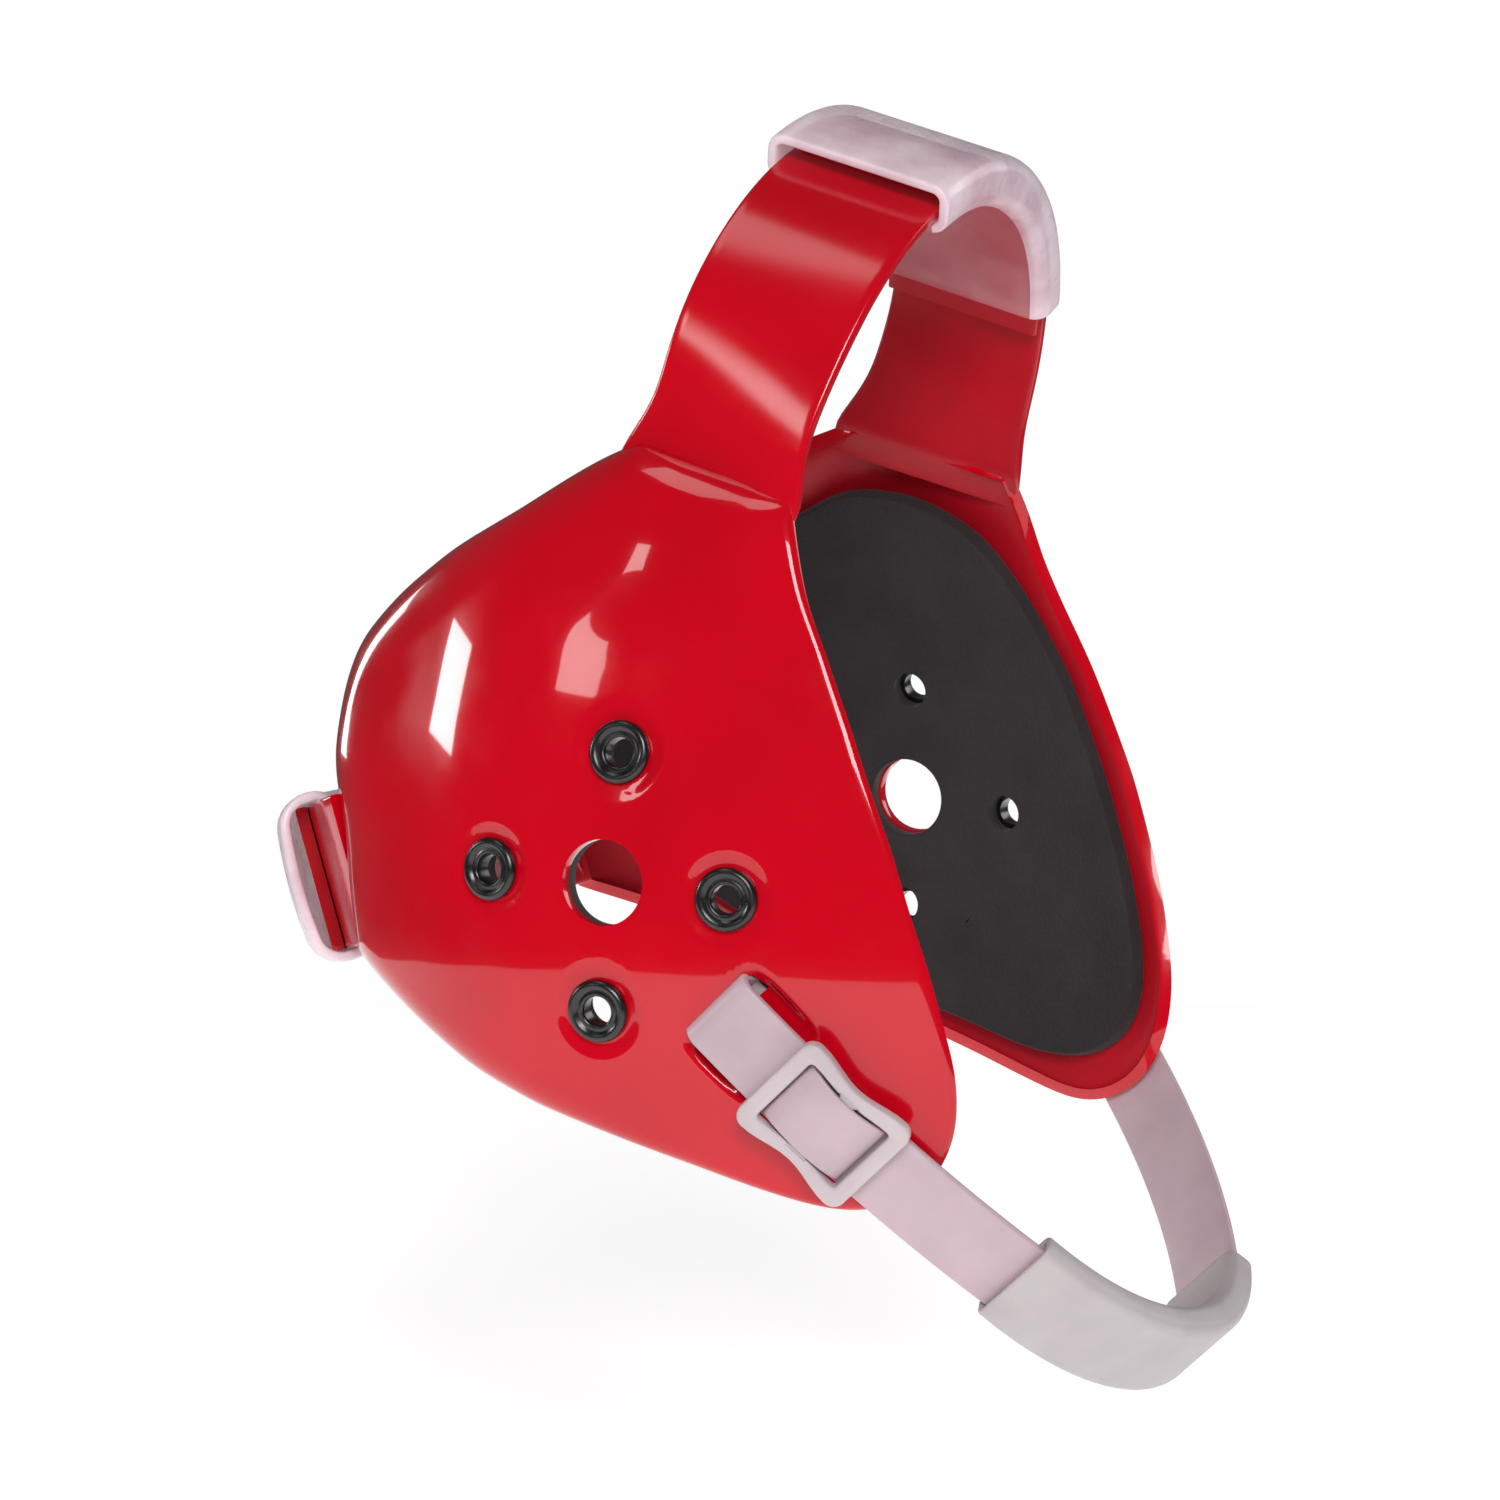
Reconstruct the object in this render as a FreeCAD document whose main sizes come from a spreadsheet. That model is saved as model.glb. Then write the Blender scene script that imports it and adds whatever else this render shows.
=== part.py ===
"""Wrestling headgear: two moulded ear guards joined over the crown, behind the head and under the chin.

Millimetres. X is the wearer's forward, Y the wearer's left, Z up. The origin is midway between the
ear canals. Every piece is made once for a side and called for both, with side = -1 for the right.
"""
import FreeCAD
import Part
import math
import os

from FreeCAD import Placement, Vector

doc = FreeCAD.newDocument("headgear")

# ---------------------------------------------------------------- sizes
SIZES = {
    # guard shell: a dome of two fore-and-aft arcs swept round a long upright arc
    "ear_span": 151.0, "guard_length": 140.0, "guard_height": 140.0, "shell_thick": 2.5,
    "front_curve": 190.0, "rear_curve": 80.0, "upright_curve": 185.0,
    # ear pad and ear hole
    "pad_thick": 3.5, "pad_gap": 0.3, "pad_vent": 7.5, "ear_hole": 16.0,
    # eyelets
    "eyelet_reach": 24.0, "flange_wide": 12.0, "barrel_wide": 8.0, "bore_wide": 5.5,
    "seat_deep": 0.5, "land_thick": 1.7, "flange_thick": 1.3, "washer_thick": 1.0,
    # crown and rear straps with their sleeves
    "strap_lean": 17.0, "strap_thick": 2.5, "layer_gap": 0.3,
    "crown_wide": 34.0, "crown_inner": 49.7, "crown_leg": 9.0,
    "rear_wide": 30.0, "rear_inner": 48.7, "rear_leg": 28.0,
    "sleeve_wall": 2.0, "crown_sleeve_gap": 0.6, "rear_sleeve_gap": 1.6, "sleeve_side_gap": 0.4,
    # chin strap, buckle, sleeve
    "chin_wide": 16.0, "chin_thick": 1.8, "chin_curve": 46.5, "chin_sleeve_gap": 1.2,
    "chin_wall": 1.4, "buckle_wide": 22.4, "buckle_long": 26.0, "buckle_thick": 2.8,
    "run_gap": 0.3,
}
S = SIZES

sheet = doc.addObject("Spreadsheet::Sheet", "Sizes")
for row, (word, value) in enumerate(SIZES.items(), start=1):
    sheet.set("A%d" % row, word)
    sheet.set("B%d" % row, str(value))
    sheet.setAlias("B%d" % row, word)
doc.recompute()

LEAN = math.radians(S["strap_lean"])
POLE_X, POLE_Z = -10.0, -12.0          # where the dome stands furthest out
LONG = S["guard_length"] / 140.0      # drawn at 140 long and 140 tall, then scaled
TALL = S["guard_height"] / 140.0
HALF = S["ear_span"] / 2.0


# ---------------------------------------------------------------- helpers
def placed(at, across, along):
    """A placement with its local X on `across`, local Y on `along` and local Z on their product."""
    x, y = Vector(*across).normalize(), Vector(*along).normalize()
    z = x.cross(y)
    turn = FreeCAD.Matrix(x.x, y.x, z.x, at[0], x.y, y.y, z.y, at[1], x.z, y.z, z.z, at[2], 0, 0, 0, 1)
    return Placement(turn)


def body(label, placement=None):
    made = doc.addObject("PartDesign::Body", label)
    made.Label = label
    made.Placement = placement or Placement()
    return made


def sketch(owner, name, plane, shift=None):
    drawn = owner.newObject("Sketcher::SketchObject", name)
    origin = [part for part in owner.Origin.OriginFeatures if part.Role == plane][0]
    drawn.AttachmentSupport = [(origin, "")]
    drawn.MapMode = "FlatFace"
    if shift is not None:
        drawn.AttachmentOffset = shift
    return drawn


def flat(x, y):
    return Vector(x, y, 0)


def closed(drawn, points, curves=None):
    """Draw a closed outline. A curve over 0 bows that edge outwards, under 0 inwards."""
    curves = curves or [0] * len(points)
    middle = sum((flat(*p) for p in points), Vector()) * (1.0 / len(points))
    for number, curve in enumerate(curves):
        a, b = flat(*points[number]), flat(*points[(number + 1) % len(points)])
        if not curve:
            drawn.addGeometry(Part.LineSegment(a, b))
            continue
        run = (b - a).Length
        rise = abs(curve) - math.sqrt(curve * curve - run * run / 4.0)
        half = (a + b) * 0.5
        side = Vector(-(b - a).y, (b - a).x, 0).normalize()
        if side.dot(half - middle) < 0:
            side = side * -1
        bow = half + side * (rise if curve > 0 else -rise)
        drawn.addGeometry(Part.Arc(a, bow, b))


def rounded(drawn, x0, y0, x1, y1, r):
    """A rectangle with round corners."""
    drawn.addGeometry(Part.LineSegment(flat(x0 + r, y0), flat(x1 - r, y0)))
    drawn.addGeometry(Part.LineSegment(flat(x1, y0 + r), flat(x1, y1 - r)))
    drawn.addGeometry(Part.LineSegment(flat(x1 - r, y1), flat(x0 + r, y1)))
    drawn.addGeometry(Part.LineSegment(flat(x0, y1 - r), flat(x0, y0 + r)))
    for cx, cy, start in ((x1 - r, y0 + r, -90), (x1 - r, y1 - r, 0),
                          (x0 + r, y1 - r, 90), (x0 + r, y0 + r, 180)):
        a, b = math.radians(start), math.radians(start + 90)
        drawn.addGeometry(Part.ArcOfCircle(Part.Circle(flat(cx, cy), Vector(0, 0, 1), r), a, b))


def ring(drawn, x, y, r):
    drawn.addGeometry(Part.Circle(flat(x, y), Vector(0, 0, 1), r))


def pad_up(owner, name, drawn, length, middle=True, back=False):
    made = owner.newObject("PartDesign::Pad", name)
    made.Profile = drawn
    made.setExpression("Length", length)
    made.Midplane = middle
    made.Reversed = back
    return made


def cut_through(owner, name, drawn, both=True):
    made = owner.newObject("PartDesign::Pocket", name)
    made.Profile = drawn
    made.Type = "ThroughAll"
    made.Midplane = both
    return made


def cylinder(name, radius, height, placement):
    """A cylinder from its placement's origin along its local Z."""
    made = doc.addObject("Part::Cylinder", name)
    made.setExpression("Radius", radius)
    made.setExpression("Height", height)
    made.Placement = placement
    return made


def cut(label, base, tools):
    made = doc.addObject("Part::Cut", label)
    made.Label = label
    made.Base = base
    if len(tools) > 1:
        joined = doc.addObject("Part::MultiFuse", label + "_cutters")
        joined.Shapes = tools
        made.Tool = joined
    else:
        made.Tool = tools[0]
    return made


# ---------------------------------------------------------------- the dome's surface
def wall(x):
    """How far out the dome stands at x, along its pole line, and the arc radius there."""
    curve = S["front_curve"] if x > POLE_X else S["rear_curve"]
    return HALF - curve + math.sqrt(curve ** 2 - (x - POLE_X) ** 2), curve


def dome(x, z):
    """Outward reach and outward normal (x, out, z) of the shell's outer face."""
    out, curve = wall(x)
    swing = out - (HALF - S["upright_curve"])
    reach = (HALF - S["upright_curve"]) + math.sqrt(swing ** 2 - (z - POLE_Z) ** 2)
    slope, lift = math.asin((x - POLE_X) / curve), math.asin((z - POLE_Z) / swing)
    return reach, Vector(math.sin(slope), math.cos(slope) * math.cos(lift), math.cos(slope) * math.sin(lift))


def on_dome(side, x, z, depth=0.0):
    """A placement on the shell, local Z pointing out along its normal, sunk by depth."""
    reach, normal = dome(x, z)
    normal = Vector(normal.x, side * normal.y, normal.z)
    at = Vector(x, side * reach, z) - normal * depth
    return Placement(at, FreeCAD.Rotation(Vector(0, 0, 1), normal))


# Guard outline, clockwise from the front of the neck: x, z, then the bow of the edge that follows.
NECK = (12.5, 75.0)                   # middle of the crown strap's foot
half_neck = S["crown_wide"] / 2.0 + 0.3
neck_front = (NECK[0] + half_neck * math.cos(LEAN), NECK[1] * TALL - half_neck * math.sin(LEAN))
neck_rear = (NECK[0] - half_neck * math.cos(LEAN), NECK[1] * TALL + half_neck * math.sin(LEAN))
TAIL = 75.0                           # distance along the rear strap's line to the guard's rear edge
TAIL_Z = 16.0


def rear_line(along, across):
    """x and z at a distance along and across the rear strap's line."""
    return (-along * math.cos(LEAN) - across * math.sin(LEAN),
            TAIL_Z - along * math.sin(LEAN) + across * math.cos(LEAN))


tail_low = rear_line(TAIL * LONG, -S["rear_wide"] / 2.0 - 0.5)
tail_high = rear_line(TAIL * LONG, S["rear_wide"] / 2.0 + 0.5)
GUARD = [(34, 52, 0), (53, 9, 0), (60, -15, 160), (64.5, -36, 40), (62.5, -49, 14), (55, -58.5, 14),
         (43, -61, 60), (15, -53, 0), (-17, -43.5, 120), (-44, -31, 60)]
GUARD_BACK = [(-79.5, 26, 22), (-72.5, 39, 70), (-47, 58, 120)]
EAR_PAD = [(-17, 63, 14), (-8, 67.5, 60), (8, 66, 26), (22, 58.5, 90), (40, 29, 0), (54.5, -14, 120),
           (58.5, -38, 20), (53, -49.5, 14), (42, -53, 60), (18, -48, 0), (-17, -37.5, 120),
           (-40, -27, 60), (-60, -8, 50), (-66, 14, 60), (-60, 32, 90), (-42, 49, 120)]


def scaled(points):
    return [(x * LONG, z * TALL, curve * (LONG + TALL) / 2.0) for x, z, curve in points]


def dome_layer(label, side, depth, thick, outline):
    """A curved layer of the dome between two depths, trimmed to an outline."""
    made = body(label)
    lift = Placement(Vector(0, 0, POLE_Z), FreeCAD.Rotation())
    drawn = sketch(made, label + "_wall", "XY_Plane", lift)
    front, rear = S["front_curve"], S["rear_curve"]
    fore, aft = 78.0 * LONG, 66.0 * LONG + 4.0

    def arc(curve, sunk, reach, back):
        radius = curve - sunk
        centre = flat(POLE_X, side * (HALF - curve))
        turn = math.asin(reach / radius)
        points = []
        for part in (0.0, 0.5, 1.0):
            angle = part * turn * (-1 if back else 1)
            points.append(centre + flat(radius * math.sin(angle), side * radius * math.cos(angle)))
        drawn.addGeometry(Part.Arc(*points))
        return points[2]

    ends = [arc(front, depth, fore, False), arc(rear, depth, aft, True),
            arc(front, depth + thick, fore, False), arc(rear, depth + thick, aft, True)]
    drawn.addGeometry(Part.LineSegment(ends[0], ends[2]))
    drawn.addGeometry(Part.LineSegment(ends[1], ends[3]))
    spin = made.newObject("PartDesign::Revolution", label + "_sweep")
    drawn.addGeometry(Part.LineSegment(flat(-60, side * (HALF - S["upright_curve"])),
                                       flat(60, side * (HALF - S["upright_curve"]))), True)
    spin.Profile = drawn
    spin.ReferenceAxis = (drawn, ["Axis0"])
    spin.Angle = 96.0
    spin.Midplane = True
    trim = sketch(made, label + "_outline", "XZ_Plane")
    big = 200.0
    closed(trim, [(-big, -big), (-big, big), (big, big), (big, -big)])
    closed(trim, [p[:2] for p in outline], [p[2] for p in outline])
    cut_through(made, label + "_trim", trim)
    return made


# ---------------------------------------------------------------- chin strap path, in its own plane
CHIN_AT = (23.0, 0.0, -22.0)
CHIN_WIDE_DIR = Vector(0.72, 0, 0.69).normalize()
CHIN_DOWN = (CHIN_WIDE_DIR.z, 0, -CHIN_WIDE_DIR.x)
CHIN_MID = (-5.0, 51.0)               # centre of the curve under the chin
CHIN_START = 2.0
CHIN_SIDE_CURVE = {-1: 200.0, 1: 120.0}


def chin_reach():
    x, z = CHIN_AT[0] + CHIN_START * CHIN_DOWN[0], CHIN_AT[2] + CHIN_START * CHIN_DOWN[2]
    return dome(x, z)[0] + 0.9 + S["chin_thick"] / 2.0


def side_arc(side):
    """Centre and meeting angle of the long arc that runs from the guard's slot to the chin curve."""
    curve, small = CHIN_SIDE_CURVE[side], S["chin_curve"]
    px, py = side * chin_reach() - CHIN_MID[0], CHIN_START - CHIN_MID[1]
    far, step = math.hypot(px, py), curve - small
    lean = (curve ** 2 - far ** 2 - step ** 2) / (2 * step * far)
    meet = math.atan2(py, px) + side * math.acos(lean)
    centre = (CHIN_MID[0] - step * math.cos(meet), CHIN_MID[1] - step * math.sin(meet))
    return centre, meet % (2 * math.pi)


CHIN_FRAME = placed(CHIN_AT, (0, 1, 0), CHIN_DOWN)
SLOT_Z = CHIN_START - 0.9             # the strap turns inwards here, along its own plane


def guard(side):
    """One moulded shell with its ear hole, eyelet seats and strap slot."""
    name = "left" if side > 0 else "right"
    outline = [neck_front + (0,)] + scaled(GUARD) + [tail_low + (0,), tail_high + (30 * LONG,)]
    outline += scaled(GUARD_BACK) + [neck_rear + (0,)]
    shell = dome_layer(name + "_shell_blank", side, 0.0, S["shell_thick"], outline)
    holes = [cylinder(name + "_ear_cut", "Sizes.ear_hole / 2", "60", on_dome(side, 0, 0, 30))]
    for spot, (x, z) in EYELETS.items():
        tag = name + "_" + spot
        land = S["seat_deep"] + S["land_thick"]
        holes.append(cylinder(tag + "_bore_cut", "Sizes.barrel_wide / 2 + 0.05", "30", on_dome(side, x, z, 15)))
        holes.append(cylinder(tag + "_seat_cut", "Sizes.flange_wide / 2 + 0.5", "8",
                              on_dome(side, x, z, S["seat_deep"])))
        holes.append(cylinder(tag + "_back_cut", "Sizes.flange_wide / 2 + 0.5", "8",
                              on_dome(side, x, z, land + 8)))
    slot = doc.addObject("Part::Box", name + "_slot_cut")
    slot.setExpression("Length", "Sizes.chin_thick + 1.6")
    slot.setExpression("Width", "Sizes.chin_wide + 1.4")
    slot.Height = 14.0
    slot.Placement = slot_place(side, S["chin_thick"] + 1.6, S["chin_wide"] + 1.4, 7.0)
    return cut(name + "_shell", shell, holes + [slot])


def slot_place(side, long, wide, sink):
    """A box placement round the strap's slot: X along the strap, Y across it, Z straight out."""
    reach = chin_reach() - S["chin_thick"] / 2.0
    down, across = Vector(*CHIN_DOWN), CHIN_WIDE_DIR
    centre = Vector(*CHIN_AT) + down * SLOT_Z + Vector(0, side * (reach - sink), 0)
    out = Vector(0, side, 0)
    wide_dir = out.cross(down)
    corner = centre - down * (long / 2.0) - wide_dir * (wide / 2.0)
    return placed(corner, down, wide_dir)


ARM = S["eyelet_reach"]
EYELETS = {"top": (2, ARM), "front": (ARM, -2), "bottom": (-1, -ARM), "rear": (-ARM, 1)}


def ear_pad(side):
    name = "left" if side > 0 else "right"
    depth = S["shell_thick"] + S["pad_gap"]
    blank = dome_layer(name + "_ear_pad_blank", side, depth, S["pad_thick"], scaled(EAR_PAD))
    holes = [cylinder(name + "_pad_ear_cut", "Sizes.ear_hole / 2", "60", on_dome(side, 0, 0, 30))]
    for spot, (x, z) in EYELETS.items():
        tag = name + "_pad_" + spot
        holes.append(cylinder(tag + "_bore_cut", "Sizes.pad_vent / 2", "30", on_dome(side, x, z, 22)))
        deep = S["seat_deep"] + S["land_thick"] + S["washer_thick"] + 1.5
        holes.append(cylinder(tag + "_room_cut", "Sizes.flange_wide / 2 + 0.6", "6", on_dome(side, x, z, deep)))
    room = doc.addObject("Part::Box", name + "_pad_slot_cut")
    room.Length, room.Width, room.Height = 9.0, S["chin_wide"] + 1.0, 12.0
    room.Placement = slot_place(side, 9.0, S["chin_wide"] + 1.0, 6.0)
    return cut(name + "_ear_pad", blank, holes + [room])


def eyelet(side, spot):
    """A domed flange on a short barrel, seated on the shell's land."""
    name = ("left" if side > 0 else "right") + "_eyelet_" + spot
    x, z = EYELETS[spot]
    made = body(name, on_dome(side, x, z, S["seat_deep"]))
    drawn = sketch(made, name + "_profile", "XZ_Plane")
    bore, barrel, flange = S["bore_wide"] / 2, S["barrel_wide"] / 2, S["flange_wide"] / 2
    tall, deep = S["flange_thick"], S["land_thick"] + S["washer_thick"]
    closed(drawn, [(bore, -deep), (barrel, -deep), (barrel, 0), (flange, 0), (flange, 0.35),
                   (flange - 1.3, tall), (bore + 0.7, tall), (bore, tall - 0.6)],
           [0, 0, 0, 0, 2.0, 0, 0.8, 0])
    spin = made.newObject("PartDesign::Revolution", name + "_turn")
    spin.Profile = drawn
    spin.ReferenceAxis = (drawn, ["V_Axis"])
    spin.Angle = 360.0
    return made


def washer(side, spot):
    """The ring that the barrel is set over, behind the shell."""
    name = ("left" if side > 0 else "right") + "_washer_" + spot
    x, z = EYELETS[spot]
    land = S["seat_deep"] + S["land_thick"]
    made = body(name, on_dome(side, x, z, land + S["washer_thick"]))
    drawn = sketch(made, name + "_profile", "XY_Plane")
    ring(drawn, 0, 0, S["flange_wide"] / 2 - 0.3)
    ring(drawn, 0, 0, S["barrel_wide"] / 2)
    pad_up(made, name + "_plate", drawn, "Sizes.washer_thick", middle=False)
    return made


# ---------------------------------------------------------------- straps and sleeves on an arc
CROWN_UP = (math.sin(LEAN), 0, math.cos(LEAN))
REAR_BACK = (-math.cos(LEAN), 0, -math.sin(LEAN))
CROWN_MID = (NECK[0] + S["crown_leg"] * CROWN_UP[0], 0, NECK[1] * TALL + S["crown_leg"] * CROWN_UP[2])
REAR_MID_X, REAR_MID_Z = rear_line(TAIL * LONG - S["rear_leg"], 0)
REAR_MID = (REAR_MID_X, 0, REAR_MID_Z)


def arc_strap(label, middle, up, foot, bead, inner, side, tip, wide):
    """A strap from its foot on one side, over the arc, to a round tongue at the tip angle.

    Angles are measured from the top of the arc, positive towards the wearer's left. The foot is the
    level, in the strap's own plane, where it meets the guard. A bead at the foot is the moulded crease.
    """
    outer = inner + S["strap_thick"]
    made = body(label, placed(middle, (0, 1, 0), up))
    drawn = sketch(made, label + "_side", "XY_Plane")

    def spot(radius, angle):
        return flat(radius * math.sin(angle), radius * math.cos(angle))

    if foot > 0:
        start = [side * math.acos(foot / inner), side * math.acos(foot / outer)]
    else:
        start = [side * math.pi / 2, side * math.pi / 2]
    tip = math.radians(tip)
    for radius, first in ((inner, start[0]), (outer, start[1])):
        drawn.addGeometry(Part.Arc(spot(radius, first), spot(radius, (first + tip) / 2), spot(radius, tip)))
    drawn.addGeometry(Part.LineSegment(spot(inner, tip), spot(outer, tip)))
    low, high = spot(inner, start[0]), spot(outer, start[1])
    if foot > 0:
        drawn.addGeometry(Part.LineSegment(low, high))
    else:
        for a, b in ((low, flat(low.x, foot)), (flat(low.x, foot), flat(high.x, foot)),
                     (flat(high.x, foot), high)):
            drawn.addGeometry(Part.LineSegment(a, b))
    pad_up(made, label + "_band", drawn, "Sizes." + wide)
    if bead:
        ridge = sketch(made, label + "_bead", "XY_Plane")
        near, far = bead
        closed(ridge, [(side * near, foot), (side * far, foot), (side * far, foot + 2.4), (side * near, foot + 2.4)])
        pad_up(made, label + "_crease", ridge, "Sizes.%s - 1" % wide)
    made.Tip = made.Group[-1]
    return made


def arc_sleeve(label, placement, inner, outer, wide, wall_word, sweep, corner):
    """An oval tube bent round the arc's centre, which is the body's origin."""
    made = body(label, placement)
    drawn = sketch(made, label + "_section", "YZ_Plane")
    wall_thick = S[wall_word]
    half = wide / 2.0
    rounded(drawn, inner - wall_thick, -half - wall_thick, outer + wall_thick, half + wall_thick, corner)
    rounded(drawn, inner, -half, outer, half, max(0.4, corner - wall_thick))
    spin = made.newObject("PartDesign::Revolution", label + "_bend")
    spin.Profile = drawn
    spin.ReferenceAxis = (drawn, ["V_Axis"])
    spin.Angle = sweep
    spin.Midplane = True
    return made


def turned(placement, degrees):
    """The same arc frame, turned about its own axis towards the wearer's left."""
    return placement * Placement(Vector(), FreeCAD.Rotation(Vector(0, 0, 1), -degrees))


for side in (-1, 1):
    guard(side)
    ear_pad(side)
    for spot in EYELETS:
        eyelet(side, spot)
        washer(side, spot)

layer = S["strap_thick"] + S["layer_gap"]
arc_strap("right_crown_strap", CROWN_MID, CROWN_UP, -S["crown_leg"], (S["crown_inner"], S["crown_inner"] + 3.2),
          S["crown_inner"], -1, 66.0, "crown_wide")
arc_strap("left_crown_strap", CROWN_MID, CROWN_UP, -S["crown_leg"],
          (S["crown_inner"], S["crown_inner"] + layer + 1), S["crown_inner"] + layer, 1, -18.0, "crown_wide")
rear_reach = math.sqrt(S["rear_inner"] ** 2 - S["rear_leg"] ** 2)
arc_strap("right_rear_strap", REAR_MID, REAR_BACK, S["rear_leg"], (rear_reach - 0.6, rear_reach + 5.0),
          S["rear_inner"], -1, 30.0, "rear_wide")
arc_strap("left_rear_strap", REAR_MID, REAR_BACK, S["rear_leg"], (rear_reach - 0.6, rear_reach + 5.0),
          S["rear_inner"] + layer, 1, -30.0, "rear_wide")

CROWN_FRAME = placed(CROWN_MID, (0, 1, 0), CROWN_UP)
REAR_FRAME = placed(REAR_MID, (0, 1, 0), REAR_BACK)
double = layer + S["strap_thick"]
arc_sleeve("crown_sleeve", turned(CROWN_FRAME, 16.0), S["crown_inner"] - S["crown_sleeve_gap"],
           S["crown_inner"] + double + S["crown_sleeve_gap"], S["crown_wide"] + 2 * S["sleeve_side_gap"],
           "sleeve_wall", 88.0, 3.2)
arc_sleeve("rear_sleeve", REAR_FRAME, S["rear_inner"] - S["rear_sleeve_gap"],
           S["rear_inner"] + double + S["rear_sleeve_gap"], S["rear_wide"] + 2 * S["sleeve_side_gap"],
           "sleeve_wall", 84.0, 5.0)

# ---------------------------------------------------------------- chin strap
chin_half = S["chin_thick"] / 2.0
strap = body("chin_strap", CHIN_FRAME)
path = sketch(strap, "chin_strap_path", "XY_Plane")
right_mid, right_meet = side_arc(-1)
left_mid, left_meet = side_arc(1)


def about(centre, radius, angle):
    return flat(centre[0] + radius * math.cos(angle), centre[1] + radius * math.sin(angle))


def start_angle(side, centre, radius):
    """Angle, about the side arc's centre, of the level where the strap leaves its slot."""
    rise = math.asin((CHIN_START - centre[1]) / radius)
    return rise if side > 0 else math.pi - rise


foot = {}
for offset in (-chin_half, chin_half):
    for side, centre, meet in ((-1, right_mid, right_meet), (1, left_mid, left_meet)):
        radius = CHIN_SIDE_CURVE[side] + offset
        begin = start_angle(side, centre, radius)
        foot[side, offset] = about(centre, radius, begin)
        path.addGeometry(Part.Arc(foot[side, offset], about(centre, radius, (begin + meet) / 2),
                                  about(centre, radius, meet)))
    small = S["chin_curve"] + offset
    halfway = (right_meet + left_meet) / 2
    path.addGeometry(Part.Arc(about(CHIN_MID, small, right_meet), about(CHIN_MID, small, halfway),
                              about(CHIN_MID, small, left_meet)))
KEEPER_GAP, KEEPER_THICK = 1.3, 1.2     # mm, clear of the shell's curved inner face
keeper_top = chin_reach() - chin_half - 0.9 - S["shell_thick"] - KEEPER_GAP
for side in (-1, 1):
    out_top, in_top = foot[side, chin_half], foot[side, -chin_half]
    low = CHIN_START - S["chin_thick"]
    corners = [out_top, flat(out_top.x, low), flat(side * keeper_top, low),
               flat(side * keeper_top, CHIN_START), in_top]
    for a, b in zip(corners, corners[1:]):
        path.addGeometry(Part.LineSegment(a, b))
pad_up(strap, "chin_strap_band", path, "Sizes.chin_wide")

for side in (-1, 1):
    name = ("left" if side > 0 else "right") + "_chin_keeper"
    keeper = body(name, CHIN_FRAME)
    block = sketch(keeper, name + "_side", "XY_Plane")
    mid = CHIN_START - chin_half
    closed(block, [(side * keeper_top, mid - 3), (side * keeper_top, mid + 3),
                   (side * (keeper_top - KEEPER_THICK), mid + 2.4),
                   (side * (keeper_top - KEEPER_THICK), mid - 2.4)])
    pad_up(keeper, name + "_bar", block, "Sizes.chin_wide - 1")

chin_sleeve_turn = 90.0 - math.degrees(right_meet + left_meet) / 2.0 - 6.0
under_chin = CHIN_FRAME * Placement(Vector(*CHIN_MID, 0), FreeCAD.Rotation())
sleeve_room = chin_half + S["chin_sleeve_gap"]
arc_sleeve("chin_sleeve", turned(under_chin, chin_sleeve_turn),
           S["chin_curve"] - sleeve_room, S["chin_curve"] + sleeve_room,
           S["chin_wide"] + 1.0, "chin_wall", 98.0, 2.4)

# ---------------------------------------------------------------- buckle on the right side arc
BUCKLE_H = 27.5
buckle_turn = math.pi - math.asin((BUCKLE_H - right_mid[1]) / CHIN_SIDE_CURVE[-1])
touch = about(right_mid, CHIN_SIDE_CURVE[-1] + chin_half, buckle_turn)
out = Vector(math.cos(buckle_turn), math.sin(buckle_turn), 0)
tangent = Vector(out.y, -out.x, 0)
width = out.cross(tangent)
turn = FreeCAD.Matrix(tangent.x, width.x, out.x, touch.x, tangent.y, width.y, out.y, touch.y,
                      tangent.z, width.z, out.z, 0, 0, 0, 0, 1)
BUCKLE_FRAME = CHIN_FRAME * Placement(turn)

buckle = body("chin_buckle", BUCKLE_FRAME)
lift = Placement(Vector(0, 0, S["run_gap"]), FreeCAD.Rotation())
frame_face = sketch(buckle, "chin_buckle_frame", "XY_Plane", lift)
long, wide = S["buckle_long"] / 2.0, S["buckle_wide"] / 2.0
window = S["chin_wide"] / 2.0 - 0.2
rounded(frame_face, -long, -wide, long, wide, 2.6)
rounded(frame_face, -long + 3.2, -window, -1.7, window, 0.8)
rounded(frame_face, 1.7, -window, long - 3.2, window, 0.8)
pad_up(buckle, "chin_buckle_plate", frame_face, "Sizes.buckle_thick", middle=False)

hump = body("chin_strap_hump", BUCKLE_FRAME)
arch = sketch(hump, "chin_strap_hump_side", "XZ_Plane")
low, top = S["run_gap"], S["run_gap"] + S["buckle_thick"]
closed(arch, [(-9.4, low), (-7.6, low), (-1.7, top), (1.7, top), (7.6, low), (9.4, low),
              (3.0, top + 1.7), (-3.0, top + 1.7)], [0, -9, 0, -9, 0, 12, 0, 12])
pad_up(hump, "chin_strap_hump_band", arch, "Sizes.chin_wide - 1.0")

# ---------------------------------------------------------------- check and write out
NODES = [side + "_" + what for side in ("right", "left") for what in
         ["shell", "ear_pad", "crown_strap", "rear_strap", "chin_keeper"]
         + ["eyelet_" + spot for spot in EYELETS] + ["washer_" + spot for spot in EYELETS]]
NODES += ["crown_sleeve", "rear_sleeve", "chin_strap", "chin_sleeve", "chin_buckle", "chin_strap_hump"]

doc.recompute()
for item in doc.Objects:
    if "Invalid" in item.State or "Error" in item.State:
        raise RuntimeError("%s did not recompute: %s" % (item.Label, item.State))

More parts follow.
